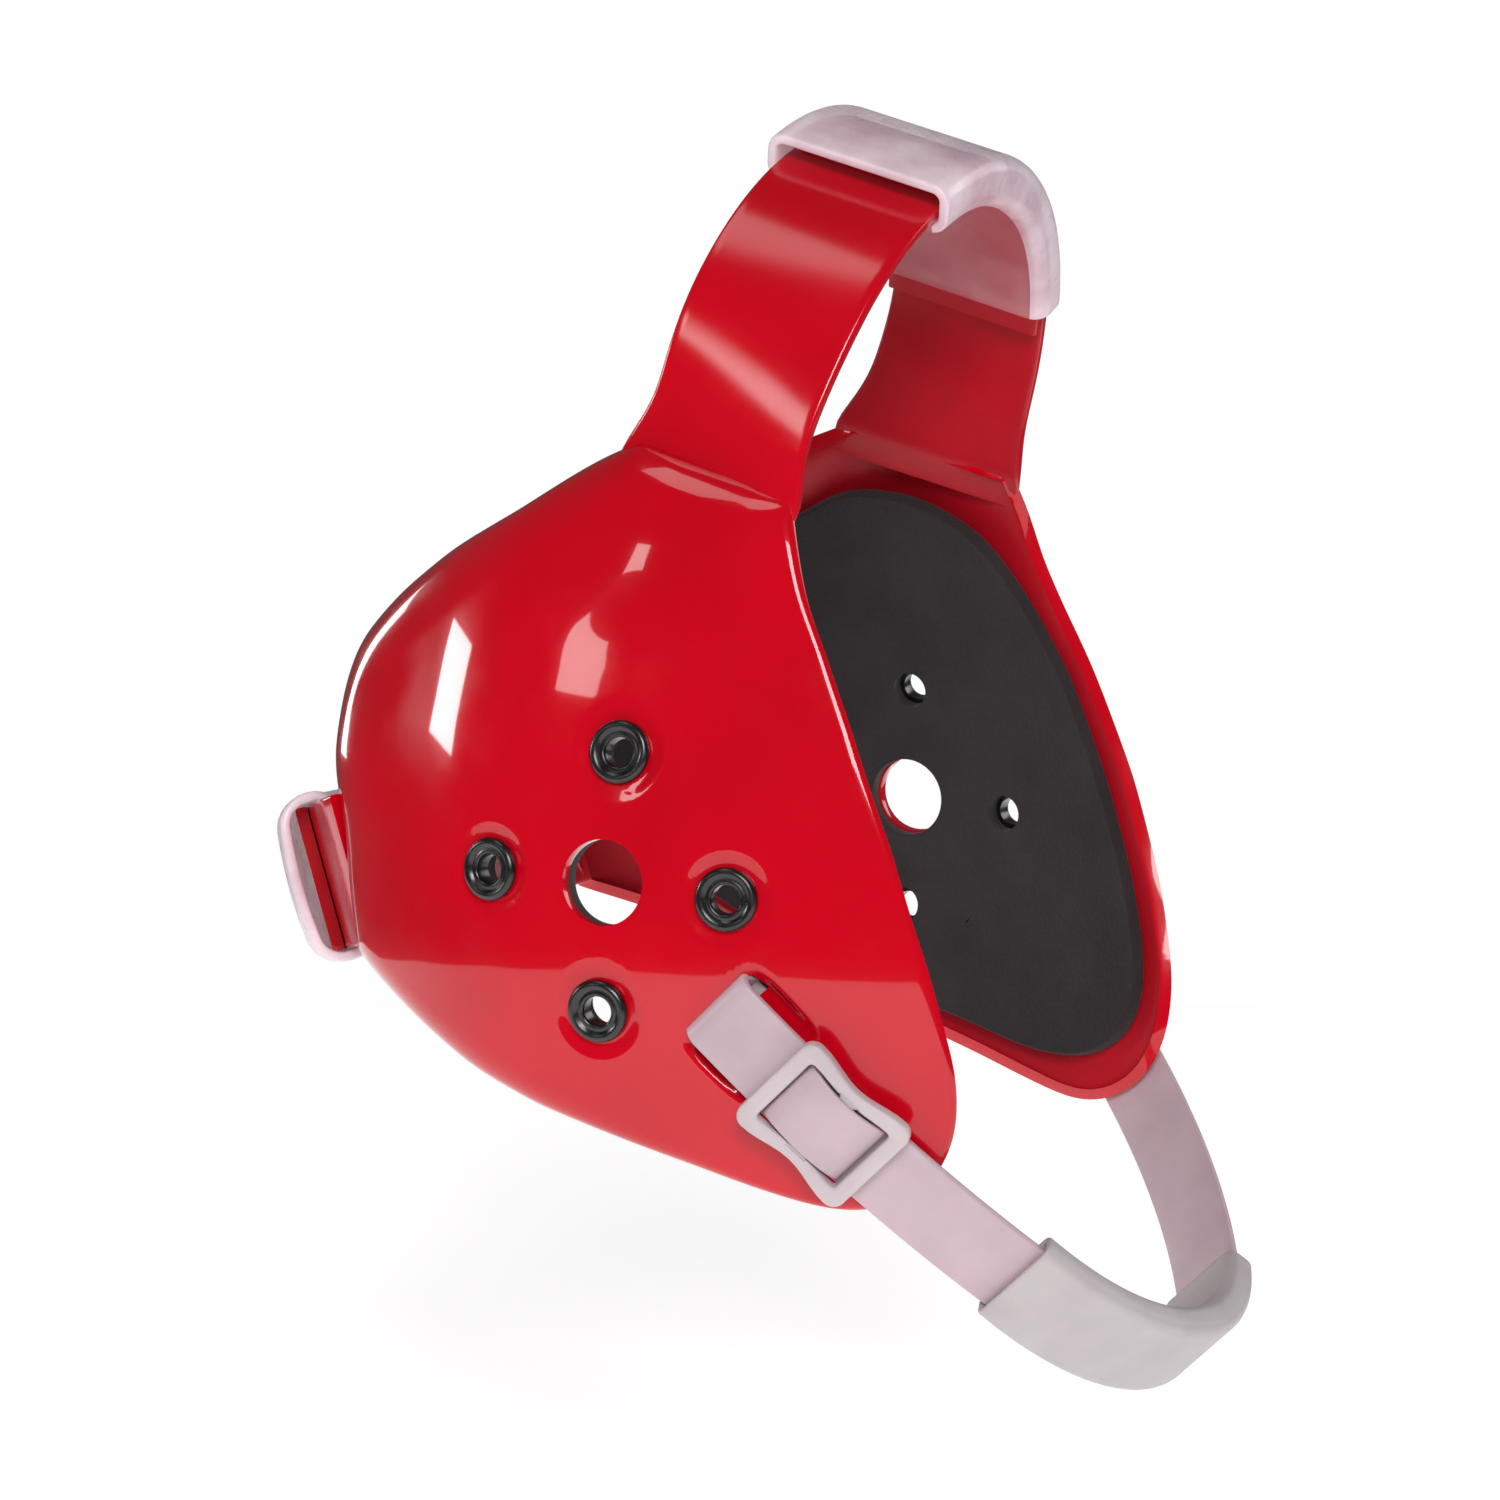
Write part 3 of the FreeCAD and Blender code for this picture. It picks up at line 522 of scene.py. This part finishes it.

# %% [markdown]
# The sheet of rings becomes a shell with Solidify, which grows the wall inwards so that the outer
# face keeps its shape, and gives the inside its duller finish and its darker red, which is painted
# shade. A small Bevel rounds the cut edge.

# %% Shells
for name, side in SIDES.items():
    def lift(x, z, inset):
        reach, normal = dome(x, z)
        return Vector((x, reach + shaped(x, z, inset), z))

    bm = ring_sheet(guard_edge, EAR_HOLE, 54, lift, side)
    shell = to_object(bm, name + "_shell_visual", vinyl, shaded_inner_vinyl)
    wall = shell.modifiers.new("wall", "SOLIDIFY")
    wall.thickness, wall.offset, wall.material_offset = SHELL * MM, -1.0, 1
    rim = shell.modifiers.new("rim", "BEVEL")
    rim.width, rim.segments, rim.limit_method, rim.angle_limit = 0.8 * MM, 3, "ANGLE", math.radians(50)
    settle(shell)
    pierce(shell, cutter(side, VENT_CUT, SLOT_CUT))
    shade(shell, 38)
    claim(shell, "headgear", "red_vinyl", name + "_shell")
    print(shell.name, len(shell.data.polygons), "faces")

# %% [markdown]
# The ear pad is one slab of foam that follows the inside of the dome. Its face is
# hollowed with it, its edge is rounded over by just over a millimetre, and it is pierced for the ear and the
# vents. It is built on rings like the shell, as the wall between two lifted sheets.


# %% Ear pads
PAD_HOLE = EAR_HOLE + 0.4
for name, side in SIDES.items():
    def lift(x, z, inset):
        reach, normal = dome(x, z)
        return Vector((x, reach, z)) - normal * (SHELL + PAD_GAP)

    bm = ring_sheet(pad_edge, PAD_HOLE, 40, lift, side)
    pad = to_object(bm, name + "_ear_pad_foam", foam)
    wall = pad.modifiers.new("slab", "SOLIDIFY")
    wall.thickness, wall.offset = PAD * MM, -1.0
    rim = pad.modifiers.new("edge", "BEVEL")
    rim.width, rim.segments, rim.limit_method, rim.angle_limit = 1.3 * MM, 4, "ANGLE", math.radians(50)
    settle(pad)
    pierce(pad, cutter(side, PAD_VENT, PAD_POCKET, POCKET_FLOOR))
    shade(pad, 40)
    claim(pad, "headgear", "black_foam", name + "_ear_pad")
    print(pad.name, len(pad.data.polygons), "faces")

# %% [markdown]
# An eyelet is a turned piece, so its half-section is drawn once and spun about its own axis: a
# domed flange, a rolled lip at the bore and a thin barrel. The ring behind it is spun the same way.


# %% Eyelets and their rings
FLANGE = [(2.75, -2.6), (2.75, 0.3), (2.85, 0.62), (3.1, 0.85), (3.4, 0.88), (3.65, 0.78), (3.85, 0.74),
          (4.1, 0.95), (4.45, 1.25), (4.9, 1.42), (5.35, 1.32), (5.75, 0.95), (5.97, 0.45), (5.9, 0.0),
          (4.0, 0.0), (4.0, -2.6)]
SEAT, BEHIND = 0.5, 3.2                   # how far below the shell's face each is set
RING = [(4.05, 0.0), (5.6, 0.0), (5.7, 0.15), (5.7, 0.85), (5.6, 1.0), (4.05, 1.0)]


def turned(section, segments, matrix):
    """Spin a closed half-section, given as radius and height, about the matrix's local Z."""
    bm = bmesh.new()
    corners = [bm.verts.new((r, 0, h)) for r, h in section]
    edges = [bm.edges.new((a, b)) for a, b in zip(corners, corners[1:] + corners[:1])]
    bmesh.ops.spin(bm, geom=corners + edges, axis=(0, 0, 1), cent=(0, 0, 0), angle=2 * math.pi,
                   steps=segments, use_merge=True)
    bmesh.ops.remove_doubles(bm, verts=bm.verts[:], dist=0.001)
    bmesh.ops.recalc_face_normals(bm, faces=bm.faces[:])
    bmesh.ops.transform(bm, matrix=matrix, verts=bm.verts[:])
    return bm


for name, side in SIDES.items():
    for spot, (x, z) in EYELETS.items():
        flange = turned(FLANGE, 48, on_dome(side, x, z, SEAT))
        eyelet = to_object(flange, f"{name}_eyelet_{spot}_turned", lacquer)
        shade(eyelet, 50)
        claim(eyelet, "headgear", "black_metal", f"{name}_eyelet_{spot}")
        washer = turned(RING, 40, on_dome(side, x, z, BEHIND))
        ring = to_object(washer, f"{name}_washer_{spot}_turned", lacquer)
        shade(ring, 50)
        claim(ring, "headgear", "black_metal", f"{name}_washer_{spot}")
print("eyelets", 2 * len(EYELETS))

# %% [markdown]
# Straps are flat webs that run straight off the guard and then round an arc. Each one starts as a
# cross-section, a thin grid with rounded long edges, which is extruded up the straight leg and
# spun round the arc, so its thickness is exact all the way.


# %% Strap frames and builder
def plane(at, across, along):
    """A matrix with local X on across, local Y on along, local Z on their product."""
    x, y = Vector(across).normalized(), Vector(along).normalized()
    return Matrix.Translation(at) @ Matrix((x, y, x.cross(y))).transposed().to_4x4()


CROWN_UP = Vector((math.sin(LEAN), 0, math.cos(LEAN)))
REAR_BACK = Vector((-math.cos(LEAN), 0, -math.sin(LEAN)))
CROWN_FRAME = plane(NECK + CROWN_UP * CROWN_LEG, (0, 1, 0), CROWN_UP)
rear_x, rear_z = strap_line(TAIL - REAR_LEG, 0)
REAR_FRAME = plane((rear_x, 0, rear_z), (0, 1, 0), REAR_BACK)


def section(bm, centre, thick, wide, bevel, cuts=10):
    """A strap's cross-section in the plane square to local Y: thick along X, wide along Z."""
    bmesh.ops.create_grid(bm, x_segments=1, y_segments=cuts, size=0.5,
                          matrix=Matrix.Translation(centre) @ Matrix.Rotation(math.pi / 2, 4, "X")
                          @ Matrix.Diagonal((thick, wide, 1, 1)))
    corners = [v for v in bm.verts if abs(abs((v.co - centre).z) - wide / 2) < 1e-4]
    if bevel:
        bmesh.ops.bevel(bm, geom=corners, offset=bevel, segments=3, profile=0.5, affect="VERTICES",
                        material=-1)
    return bm.faces[:]


def spin_on(bm, faces, centre, angle, steps):
    """Carry the faces on round local Z about a centre, and return the new end faces."""
    done = bmesh.ops.spin(bm, geom=faces, axis=(0, 0, 1), cent=centre, angle=angle, steps=steps)
    return [g for g in done["geom_last"] if isinstance(g, bmesh.types.BMFace)]


def push_on(bm, faces, step, count):
    """Extrude the faces on in a straight line, in several steps, and return the new end faces."""
    for _ in range(count):
        done = bmesh.ops.extrude_face_region(bm, geom=faces)
        bmesh.ops.delete(bm, geom=faces, context="FACES_ONLY")
        moved = [g for g in done["geom"] if isinstance(g, bmesh.types.BMVert)]
        bmesh.ops.translate(bm, vec=step, verts=moved)
        faces = [g for g in done["geom"] if isinstance(g, bmesh.types.BMFace)]
    return faces


def inside_out(made, centre):
    """Give the second material, the darker red of painted shade, to the faces that look in towards a centre,
    in metres.
    """
    for face in made.data.polygons:
        inward = (centre - face.center).normalized()
        face.material_index = 1 if face.normal.dot(inward) > 0.35 else 0


print("crown arc centre", [round(v, 1) for v in CROWN_FRAME.translation], "mm")

# %% [markdown]
# The crown strap is two tongues that lap under the sleeve. The foot of each is eased outwards to
# meet the neck of its guard, widened a little into the shoulder, and thinned to nothing inside,
# so that the strap seems to grow out of the guard as a moulded strap does.

# %% Crown straps
FOOT = 7.5                                # how far the strap runs down inside the guard
FOOT_TWIST = 3.0                          # the front edge of the foot stands out by this much
FOOT_OUT = {"right": 0.4, "left": -2.4}   # the foot's shift outwards, to meet each guard's neck
FLARE_FRONT, FLARE_REAR = 2.4, 4.0        # how much wider the foot is at each edge
TIP = {"right": 66.0, "left": -18.0}      # where each tongue ends, from the top, towards the left
for name, side in SIDES.items():
    inner = CROWN_INNER + (LAYER if name == "left" else 0.0)
    radius = inner + STRAP / 2
    bm = bmesh.new()
    faces = section(bm, Vector((side * radius, -CROWN_LEG - FOOT, 0)), STRAP, CROWN_WIDE, 0.7, 16)
    faces = push_on(bm, faces, (0, (CROWN_LEG + FOOT) / 10, 0), 10)
    sweep = math.radians(90 - side * TIP[name]) * side
    faces = spin_on(bm, faces, (0, 0, 0), sweep, 64)
    for v in bm.verts:
        rise = v.co.y + CROWN_LEG
        near_foot = 1 - ease(rise, -2, 34)
        inner_face = abs(v.co.x) < radius
        twist = FOOT_TWIST * v.co.z / (CROWN_WIDE / 2)
        v.co.x += side * (twist + FOOT_OUT[name]) * near_foot
        v.co.x += side * (1.4 + (2.3 if inner_face else 0.0)) * ease(-rise, 0, FOOT)
        flare = FLARE_FRONT if v.co.z > 0 else FLARE_REAR
        v.co.z += flare * v.co.z / (CROWN_WIDE / 2) * (1 - ease(rise, -4, 18)) ** 2
    bmesh.ops.recalc_face_normals(bm, faces=bm.faces[:])
    bmesh.ops.transform(bm, matrix=CROWN_FRAME, verts=bm.verts[:])
    strap = to_object(bm, name + "_crown_strap_band", strap_vinyl, shaded_inner_vinyl)
    inside_out(strap, CROWN_FRAME.translation * MM)
    shade(strap, 40)
    claim(strap, "headgear", "red_vinyl", name + "_crown_strap")
    print(strap.name, len(strap.data.polygons), "faces")

# %% [markdown]
# The rear strap is two tongues that lap behind the head, the right one inside the left. Its arc
# starts at the guards' rear tabs, so the section is turned to its starting angle before the spin,
# and the last few millimetres are drawn in to lie on the shell.

# %% Rear straps
REAR_TIP = {"right": 30.0, "left": -30.0}
REAR_OUT = {"right": 3.2, "left": 0.6}    # the foot's shift outwards, to meet each guard's tab
for name, side in SIDES.items():
    inner = REAR_INNER + (LAYER if name == "left" else 0.0)
    radius = inner + STRAP / 2
    start = math.acos((REAR_LEG - 3.0) / radius)
    bm = bmesh.new()
    faces = section(bm, Vector((side * radius, 0, 0)), STRAP, REAR_WIDE, 0.7, 14)
    bmesh.ops.rotate(bm, cent=(0, 0, 0), verts=bm.verts[:],
                     matrix=Matrix.Rotation(side * (math.pi / 2 - start), 3, "Z"))
    faces = spin_on(bm, faces, (0, 0, 0), side * (start - side * math.radians(REAR_TIP[name])), 56)
    for v in bm.verts:
        near_foot = 1 - ease(v.co.y, REAR_LEG - 3, REAR_LEG + 12)
        v.co.x += side * REAR_OUT[name] * near_foot
    bmesh.ops.recalc_face_normals(bm, faces=bm.faces[:])
    bmesh.ops.transform(bm, matrix=REAR_FRAME, verts=bm.verts[:])
    strap = to_object(bm, name + "_rear_strap_band", strap_vinyl, shaded_inner_vinyl)
    inside_out(strap, REAR_FRAME.translation * MM)
    shade(strap, 40)
    claim(strap, "headgear", "red_vinyl", name + "_rear_strap")
    print(strap.name, len(strap.data.polygons), "faces")

# %% [markdown]
# A sleeve is an oval tube bent to the strap's arc. Its ring section is two rounded rectangles
# bridged together, spun about the arc's centre, and its ends are softened with a bevel. The long
# sides can be bowed first, which turns the tube's mouth into the lens shape of a soft sleeve.


# %% Sleeves
def rounded_loop(bm, low, high, half_wide, corner):
    """A rounded rectangle in the plane through local X and Z, between two radii."""
    at = Matrix.Translation(((low + high) / 2, 0, 0)) @ Matrix.Rotation(math.pi / 2, 4, "X")
    made = bmesh.ops.create_grid(bm, x_segments=1, y_segments=1, size=0.5,
                                 matrix=at @ Matrix.Diagonal((high - low, 2 * half_wide, 1, 1)))
    bmesh.ops.bevel(bm, geom=made["verts"], offset=corner, segments=7, profile=0.5, affect="VERTICES",
                    material=-1)


def sleeve(name, frame_matrix, inner, outer, half_wide, wall, middle, sweep, corner, finish, steps=48,
           crowned=0.0, inside=None):
    """A bent oval tube. Angles are in degrees from the top of the arc towards the wearer's left.

    Crowned bows its faces out, and inside is the finish of the wall next to the head, a see-through copy
    that paints that wall's shade."""
    bm = bmesh.new()
    rounded_loop(bm, inner - wall, outer + wall, half_wide + wall, corner)
    rounded_loop(bm, inner, outer, half_wide, max(0.5, min(corner - wall, (outer - inner) * 0.45)))
    bmesh.ops.delete(bm, geom=bm.faces[:], context="FACES_ONLY")
    bmesh.ops.bridge_loops(bm, edges=bm.edges[:])
    across = [e for e in bm.edges if abs(e.verts[0].co.z - e.verts[1].co.z) > half_wide]
    bmesh.ops.subdivide_edges(bm, edges=across, cuts=15, use_grid_fill=True)
    for v in bm.verts:
        bow = 1 - (v.co.z / (half_wide + wall)) ** 2
        v.co.x += crowned * bow * (1.0 if v.co.x > (inner + outer) / 2 else -0.3)
    bmesh.ops.rotate(bm, cent=(0, 0, 0), verts=bm.verts[:],
                     matrix=Matrix.Rotation(math.radians(90 - middle - sweep / 2), 3, "Z"))
    spin_on(bm, bm.faces[:], (0, 0, 0), math.radians(sweep), steps)
    bmesh.ops.recalc_face_normals(bm, faces=bm.faces[:])
    ends = [e for e in bm.edges if len(e.link_faces) == 2 and e.calc_face_angle(0) > math.radians(70)]
    bmesh.ops.bevel(bm, geom=ends, offset=wall * 0.3, segments=3, profile=0.5, affect="EDGES", material=-1)
    bmesh.ops.transform(bm, matrix=frame_matrix, verts=bm.verts[:])
    made = to_object(bm, name, *([finish, inside] if inside else [finish]))
    if inside:
        # Faces of the wall next to the head take the see-through copy, which paints their shade.
        local = frame_matrix.inverted()
        for face in made.data.polygons:
            at = local @ (face.center / MM)
            head_side = math.hypot(at.x, at.y) < inner + 0.3 and abs(at.z) < half_wide - 1
            face.material_index = 1 if head_side else 0
    shade(made, 50)
    return made


CROWN_ROOM, REAR_ROOM, SIDE_ROOM, WALL = 0.6, 1.6, 0.4, 2.0
double = LAYER + STRAP
crown_sleeve = sleeve("crown_sleeve_tube", CROWN_FRAME, CROWN_INNER - CROWN_ROOM,
                      CROWN_INNER + double + CROWN_ROOM, CROWN_WIDE / 2 + SIDE_ROOM, WALL,
                      middle=16.0, sweep=88.0, corner=3.6, finish=frosted, inside=clear)
claim(crown_sleeve, "crown_sleeve", "frosted_vinyl", "crown_sleeve")
rear_sleeve = sleeve("rear_sleeve_tube", REAR_FRAME, REAR_INNER - REAR_ROOM,
                     REAR_INNER + double + REAR_ROOM, REAR_WIDE / 2 + SIDE_ROOM, WALL,
                     middle=0.0, sweep=84.0, corner=6.0, finish=frosted, crowned=1.6, inside=clear)
claim(rear_sleeve, "rear_sleeve", "frosted_vinyl", "rear_sleeve")
print("sleeves", len(crown_sleeve.data.polygons), len(rear_sleeve.data.polygons), "faces")

# %% [markdown]
# The chin strap leaves a slot in each guard, follows the guard's outer face, and hangs in one
# curve under the chin. Its path is three arcs that meet smoothly, so the section is spun about
# each centre in turn, and turned inwards through the slot at both ends.

# %% Chin strap path
SIDE_CURVE = {-1: 200.0, 1: 120.0}
CHIN_START = 2.0
CHIN_FRAME = plane(CHIN_AT, (0, 1, 0), DOWN)


def chin_reach():
    """How far out the middle of the chin strap's web leaves its slot."""
    at = CHIN_AT + DOWN * CHIN_START
    return dome(at.x, at.z)[0] + 0.9 + CHIN_THICK / 2


def side_arc(side):
    """Centre of a side's long arc, and the angle at which it meets the arc under the chin."""
    curve = SIDE_CURVE[side]
    px, py = side * chin_reach() - CHIN_MID.x, CHIN_START - CHIN_MID.y
    far, step = math.hypot(px, py), curve - CHIN_CURVE
    meet = math.atan2(py, px) + side * math.acos((curve ** 2 - far ** 2 - step ** 2) / (2 * step * far))
    centre = Vector((CHIN_MID.x - step * math.cos(meet), CHIN_MID.y - step * math.sin(meet), 0))
    return centre, meet % (2 * math.pi)


(right_mid, right_meet), (left_mid, left_meet) = side_arc(-1), side_arc(1)
right_foot = math.pi - math.asin((CHIN_START - right_mid.y) / SIDE_CURVE[-1])
left_foot = math.asin((CHIN_START - left_mid.y) / SIDE_CURVE[1])
chin_length = (SIDE_CURVE[-1] * (right_foot - right_meet) + CHIN_CURVE * (right_meet - left_meet)
               + SIDE_CURVE[1] * (left_meet - left_foot))
print("chin strap runs", round(chin_length), "mm from slot to slot")

# %% Chin strap
bm = bmesh.new()
start = right_mid + Vector((math.cos(right_foot), math.sin(right_foot), 0)) * SIDE_CURVE[-1]
faces = section(bm, Vector((-chin_reach(), CHIN_START, 0)), CHIN_THICK, CHIN_WIDE, 0.5, 6)
bmesh.ops.rotate(bm, cent=start, matrix=Matrix.Rotation(right_foot - math.pi, 3, "Z"), verts=bm.verts[:])
turn_in = start + Vector((math.cos(right_foot), math.sin(right_foot), 0)) * -2.6
faces = spin_on(bm, faces, right_mid, right_meet - right_foot, 30)
faces = spin_on(bm, faces, CHIN_MID, left_meet - right_meet, 56)
faces = spin_on(bm, faces, left_mid, left_foot - left_meet, 40)
end = left_mid + Vector((math.cos(left_foot), math.sin(left_foot), 0)) * SIDE_CURVE[1]
left_turn = end - Vector((math.cos(left_foot), math.sin(left_foot), 0)) * 2.6
faces = spin_on(bm, faces, left_turn, -math.radians(80), 8)
inwards = Vector((math.cos(left_foot + math.pi), math.sin(left_foot + math.pi), 0))
faces = push_on(bm, faces, inwards * 2.0, 2)
bmesh.ops.recalc_face_normals(bm, faces=bm.faces[:])
tail = [f for f in bm.faces if f.calc_center_median().x < -60 and f.normal.y < -0.9]
tail = spin_on(bm, tail, turn_in, math.radians(80), 8)
push_on(bm, tail, Vector((2.0, 0.2, 0)), 2)
bmesh.ops.recalc_face_normals(bm, faces=bm.faces[:])
bmesh.ops.transform(bm, matrix=CHIN_FRAME, verts=bm.verts[:])
chin_strap = to_object(bm, "chin_strap_web", satin["strap"])
shade(chin_strap, 40)
claim(chin_strap, "headgear", "white_vinyl", "chin_strap")
print(chin_strap.name, len(chin_strap.data.polygons), "faces")

# %% [markdown]
# The chin sleeve is the same bent tube, smaller and opaque, on the tight arc below the chin.

# %% Chin sleeve
chin_middle = 90 - math.degrees(right_meet + left_meet) / 2 - 6.0
under_chin = CHIN_FRAME @ Matrix.Translation(CHIN_MID)
chin_room = CHIN_THICK / 2 + 1.2
chin_sleeve = sleeve("chin_sleeve_tube", under_chin, CHIN_CURVE - chin_room, CHIN_CURVE + chin_room,
                     CHIN_WIDE / 2 + 0.5, 1.4, chin_middle, 98.0, 2.4, satin["chin sleeve"])
claim(chin_sleeve, "chin_sleeve", "white_vinyl", "chin_sleeve")
print("chin sleeve", len(chin_sleeve.data.polygons), "faces")

# %% [markdown]
# The buckle is a one-piece slide: a waisted frame with two windows and a bar between them. A flat
# curve with holes is the quickest way to such a plate, since its bevel rounds every edge at once.

# %% Buckle
BUCKLE_AT = 27.5                          # how far below the slot, on the chin strap's plane
buckle_turn = math.pi - math.asin((BUCKLE_AT - right_mid.y) / SIDE_CURVE[-1])
outwards = Vector((math.cos(buckle_turn), math.sin(buckle_turn), 0))
along = Vector((outwards.y, -outwards.x, 0))
touch = right_mid + outwards * (SIDE_CURVE[-1] + CHIN_THICK / 2)
turn = Matrix((along, outwards.cross(along), outwards)).transposed().to_4x4()
BUCKLE_FRAME = CHIN_FRAME @ Matrix.Translation(touch) @ turn


def loop(low_x, high_x, half, corner, waist=0.0):
    """Points of a rounded rectangle whose long sides draw in by the waist at their middle."""
    points = []
    for cx, cy, start in ((high_x - corner, half - corner, 0), (low_x + corner, half - corner, 90),
                          (low_x + corner, corner - half, 180), (high_x - corner, corner - half, 270)):
        for step in range(7):
            angle = math.radians(start + 90 * step / 6)
            points.append((cx + corner * math.cos(angle), cy + corner * math.sin(angle)))
        if start in (0, 180):
            sign = 1 if start == 0 else -1
            span = (high_x - low_x) / 2 - corner
            for step in range(1, 10):
                t = step / 10
                points.append(((high_x + low_x) / 2 + sign * span * (1 - 2 * t),
                               sign * (half - waist * math.sin(math.pi * t) ** 2)))
    return points


plate = bpy.data.curves.new("buckle_plate", "CURVE")
plate.dimensions, plate.fill_mode = "2D", "BOTH"
for points in (loop(-13, 13, 11.2, 2.6, 1.7), loop(-9.8, -1.7, 7.8, 0.9), loop(1.7, 9.8, 7.8, 0.9)):
    spline = plate.splines.new("POLY")
    spline.points.add(len(points) - 1)
    inner_loop = max(y for x, y in points) < 9
    for point, (x, y) in zip(spline.points, points):
        y *= 1 - 0.12 * math.cos(math.pi * x / 19.6) ** 2 if inner_loop else 1
        point.co = (x * MM, y * MM, 0, 1)
    spline.use_cyclic_u = True
plate.extrude, plate.bevel_depth, plate.bevel_resolution, plate.offset = 0.75 * MM, 0.65 * MM, 3, -0.65 * MM
drawn_plate = bpy.data.objects.new("buckle_plate", plate)
bpy.context.collection.objects.link(drawn_plate)
bpy.context.view_layer.update()
bm = bmesh.new()
ready = drawn_plate.evaluated_get(bpy.context.evaluated_depsgraph_get())
bm.from_mesh(bpy.data.meshes.new_from_object(ready))
bpy.data.objects.remove(drawn_plate)
bmesh.ops.scale(bm, vec=(1 / MM,) * 3, verts=bm.verts[:])
bmesh.ops.remove_doubles(bm, verts=bm.verts[:], dist=0.01)
bmesh.ops.recalc_face_normals(bm, faces=bm.faces[:])
for v in bm.verts:
    if abs(v.co.x) < 2.4 and abs(v.co.y) < 8.0:
        v.co.z -= 0.3 * (1 if v.co.z > 0 else -1)
bmesh.ops.translate(bm, vec=(0, 0, 1.7), verts=bm.verts[:])
bmesh.ops.transform(bm, matrix=BUCKLE_FRAME, verts=bm.verts[:])
buckle = to_object(bm, "chin_buckle_frame", satin["buckle"])
shade(buckle, 40)
claim(buckle, "chin_buckle", "white_vinyl", "chin_buckle")
print("buckle", len(buckle.data.polygons), "faces")

# %% [markdown]
# Between the windows the strap rises over the bar. That raised loop moves with the buckle, so it
# is its own piece: a strip of web, laid in a smooth hump and given the strap's thickness.

# %% Strap hump over the bar
bm = bmesh.new()
bmesh.ops.create_grid(bm, x_segments=44, y_segments=14, size=0.5,
                      matrix=Matrix.Diagonal((18.8, CHIN_WIDE - 2.0, 1, 1)))
for v in bm.verts:
    swell = max(0.0, math.cos(min(1.0, abs(v.co.x) / 9.4) * math.pi / 2))
    v.co.y *= 1 - 0.05 * swell
    v.co.z = 0.7 + 3.2 * swell ** 0.6 - 0.25 * (abs(v.co.y) / 7.5) ** 3
hump = to_object(bm, "chin_strap_hump_web", satin["strap"])
web = hump.modifiers.new("web", "SOLIDIFY")
web.thickness, web.offset = 1.2 * MM, -1.0
edge = hump.modifiers.new("edge", "BEVEL")
edge.width, edge.segments, edge.limit_method, edge.angle_limit = 0.3 * MM, 2, "ANGLE", math.radians(50)
settle(hump)
for v in hump.data.vertices:
    v.co.z = max(v.co.z, 0.3 * MM)
to_metres = Matrix.Diagonal((MM, MM, MM, 1)) @ BUCKLE_FRAME @ Matrix.Diagonal((1 / MM, 1 / MM, 1 / MM, 1))
hump.data.transform(to_metres)
shade(hump, 50)
claim(hump, "chin_buckle", "white_vinyl", "chin_strap_hump")
print("hump", len(hump.data.polygons), "faces")

# %% [markdown]
# Behind each slot the strap's turned-in end is held by a keeper bar. It is out of sight inside
# the pad, so the bar from the frame is kept as it is, in the buckle's white vinyl.

# %% Keeper bars
for name in SIDES:
    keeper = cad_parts[name + "_chin_keeper"]
    keeper.data.materials.clear()
    keeper.data.materials.append(satin["buckle"])
print("keepers", [name + "_chin_keeper" for name in SIDES])

# %% [markdown]
# The stage is a plain white table top, a flat disc a little below the headgear. It glows slightly,
# so it stays white without a strong lamp over it, and the glossy lower third of the guard shows it
# as one broad pale reflection.

# %% Floor
bm = bmesh.new()
FLOOR_RADIUS, FLOOR_AT = 0.75, -0.16      # metres
bmesh.ops.create_circle(bm, cap_ends=True, segments=96, radius=FLOOR_RADIUS,
                        matrix=Matrix.Translation((0, 0, FLOOR_AT)))
floor_mesh = bpy.data.meshes.new("floor")
bm.to_mesh(floor_mesh)
bm.free()
floor = bpy.data.objects.new("floor", floor_mesh)
bpy.context.collection.objects.link(floor)
paper, tree, surface = material("white table top", Base_Color=linear("FAF8F8"), Roughness=0.9,
                                Specular_IOR_Level=0.1,
                                Emission_Color=linear("FFFFFF"), Emission_Strength=0.62)
floor.data.materials.append(paper)
print("floor at", FLOOR_AT / MM, "mm")

# %% [markdown]
# Glossy vinyl shows the shape of whatever lights it. A wide box stands where the guards don't
# mirror it and gives most of the light, and the small dim ones are there for the panes they leave
# on the dome. The surroundings are dim, so the red stays pure, but white to the camera.

# %% Lights
world = bpy.data.worlds.new("studio")
world.use_nodes = True
sky = world.node_tree
seen = add(sky, "LightPath").outputs["Is Camera Ray"]
glow = add(sky, "MapRange", Value=seen, To_Min=0.07, To_Max=1.0)
sky.nodes["Background"].inputs["Color"].default_value = linear("FFFFFF")
sky.links.new(glow.outputs["Result"], sky.nodes["Background"].inputs["Strength"])
bpy.context.scene.world = world
bpy.context.scene.view_settings.view_transform = "Standard"
AIM = Vector((0, -40, 10))


def softbox(name, at, wide, tall, watts, aim=AIM, tint="FFFFFF"):
    """A rectangular soft light at a place in mm, facing the aim point."""
    lamp = bpy.data.lights.new(name, "AREA")
    lamp.shape, lamp.size, lamp.size_y, lamp.energy = "RECTANGLE", wide * MM, tall * MM, watts
    lamp.color = linear(tint)[:3]
    made = bpy.data.objects.new(name, lamp)
    bpy.context.collection.objects.link(made)
    facing = (aim - Vector(at)).to_track_quat("-Z", "Y").to_matrix().to_4x4()
    made.matrix_world = Matrix.Translation(Vector(at) * MM) @ facing
    return made


softbox("key", (-460, -890, 470), 150, 190, 0.6)
softbox("side", (-1060, -420, 270), 200, 220, 2.2)
softbox("rim", (-1000, 420, 150), 160, 420, 1.0)
softbox("wide front", (700, -1200, 760), 650, 600, 17, tint="FFF8F8")
softbox("top", (-260, -330, 1150), 420, 380, 1.2)
softbox("back", (900, 1100, 500), 900, 700, 5)
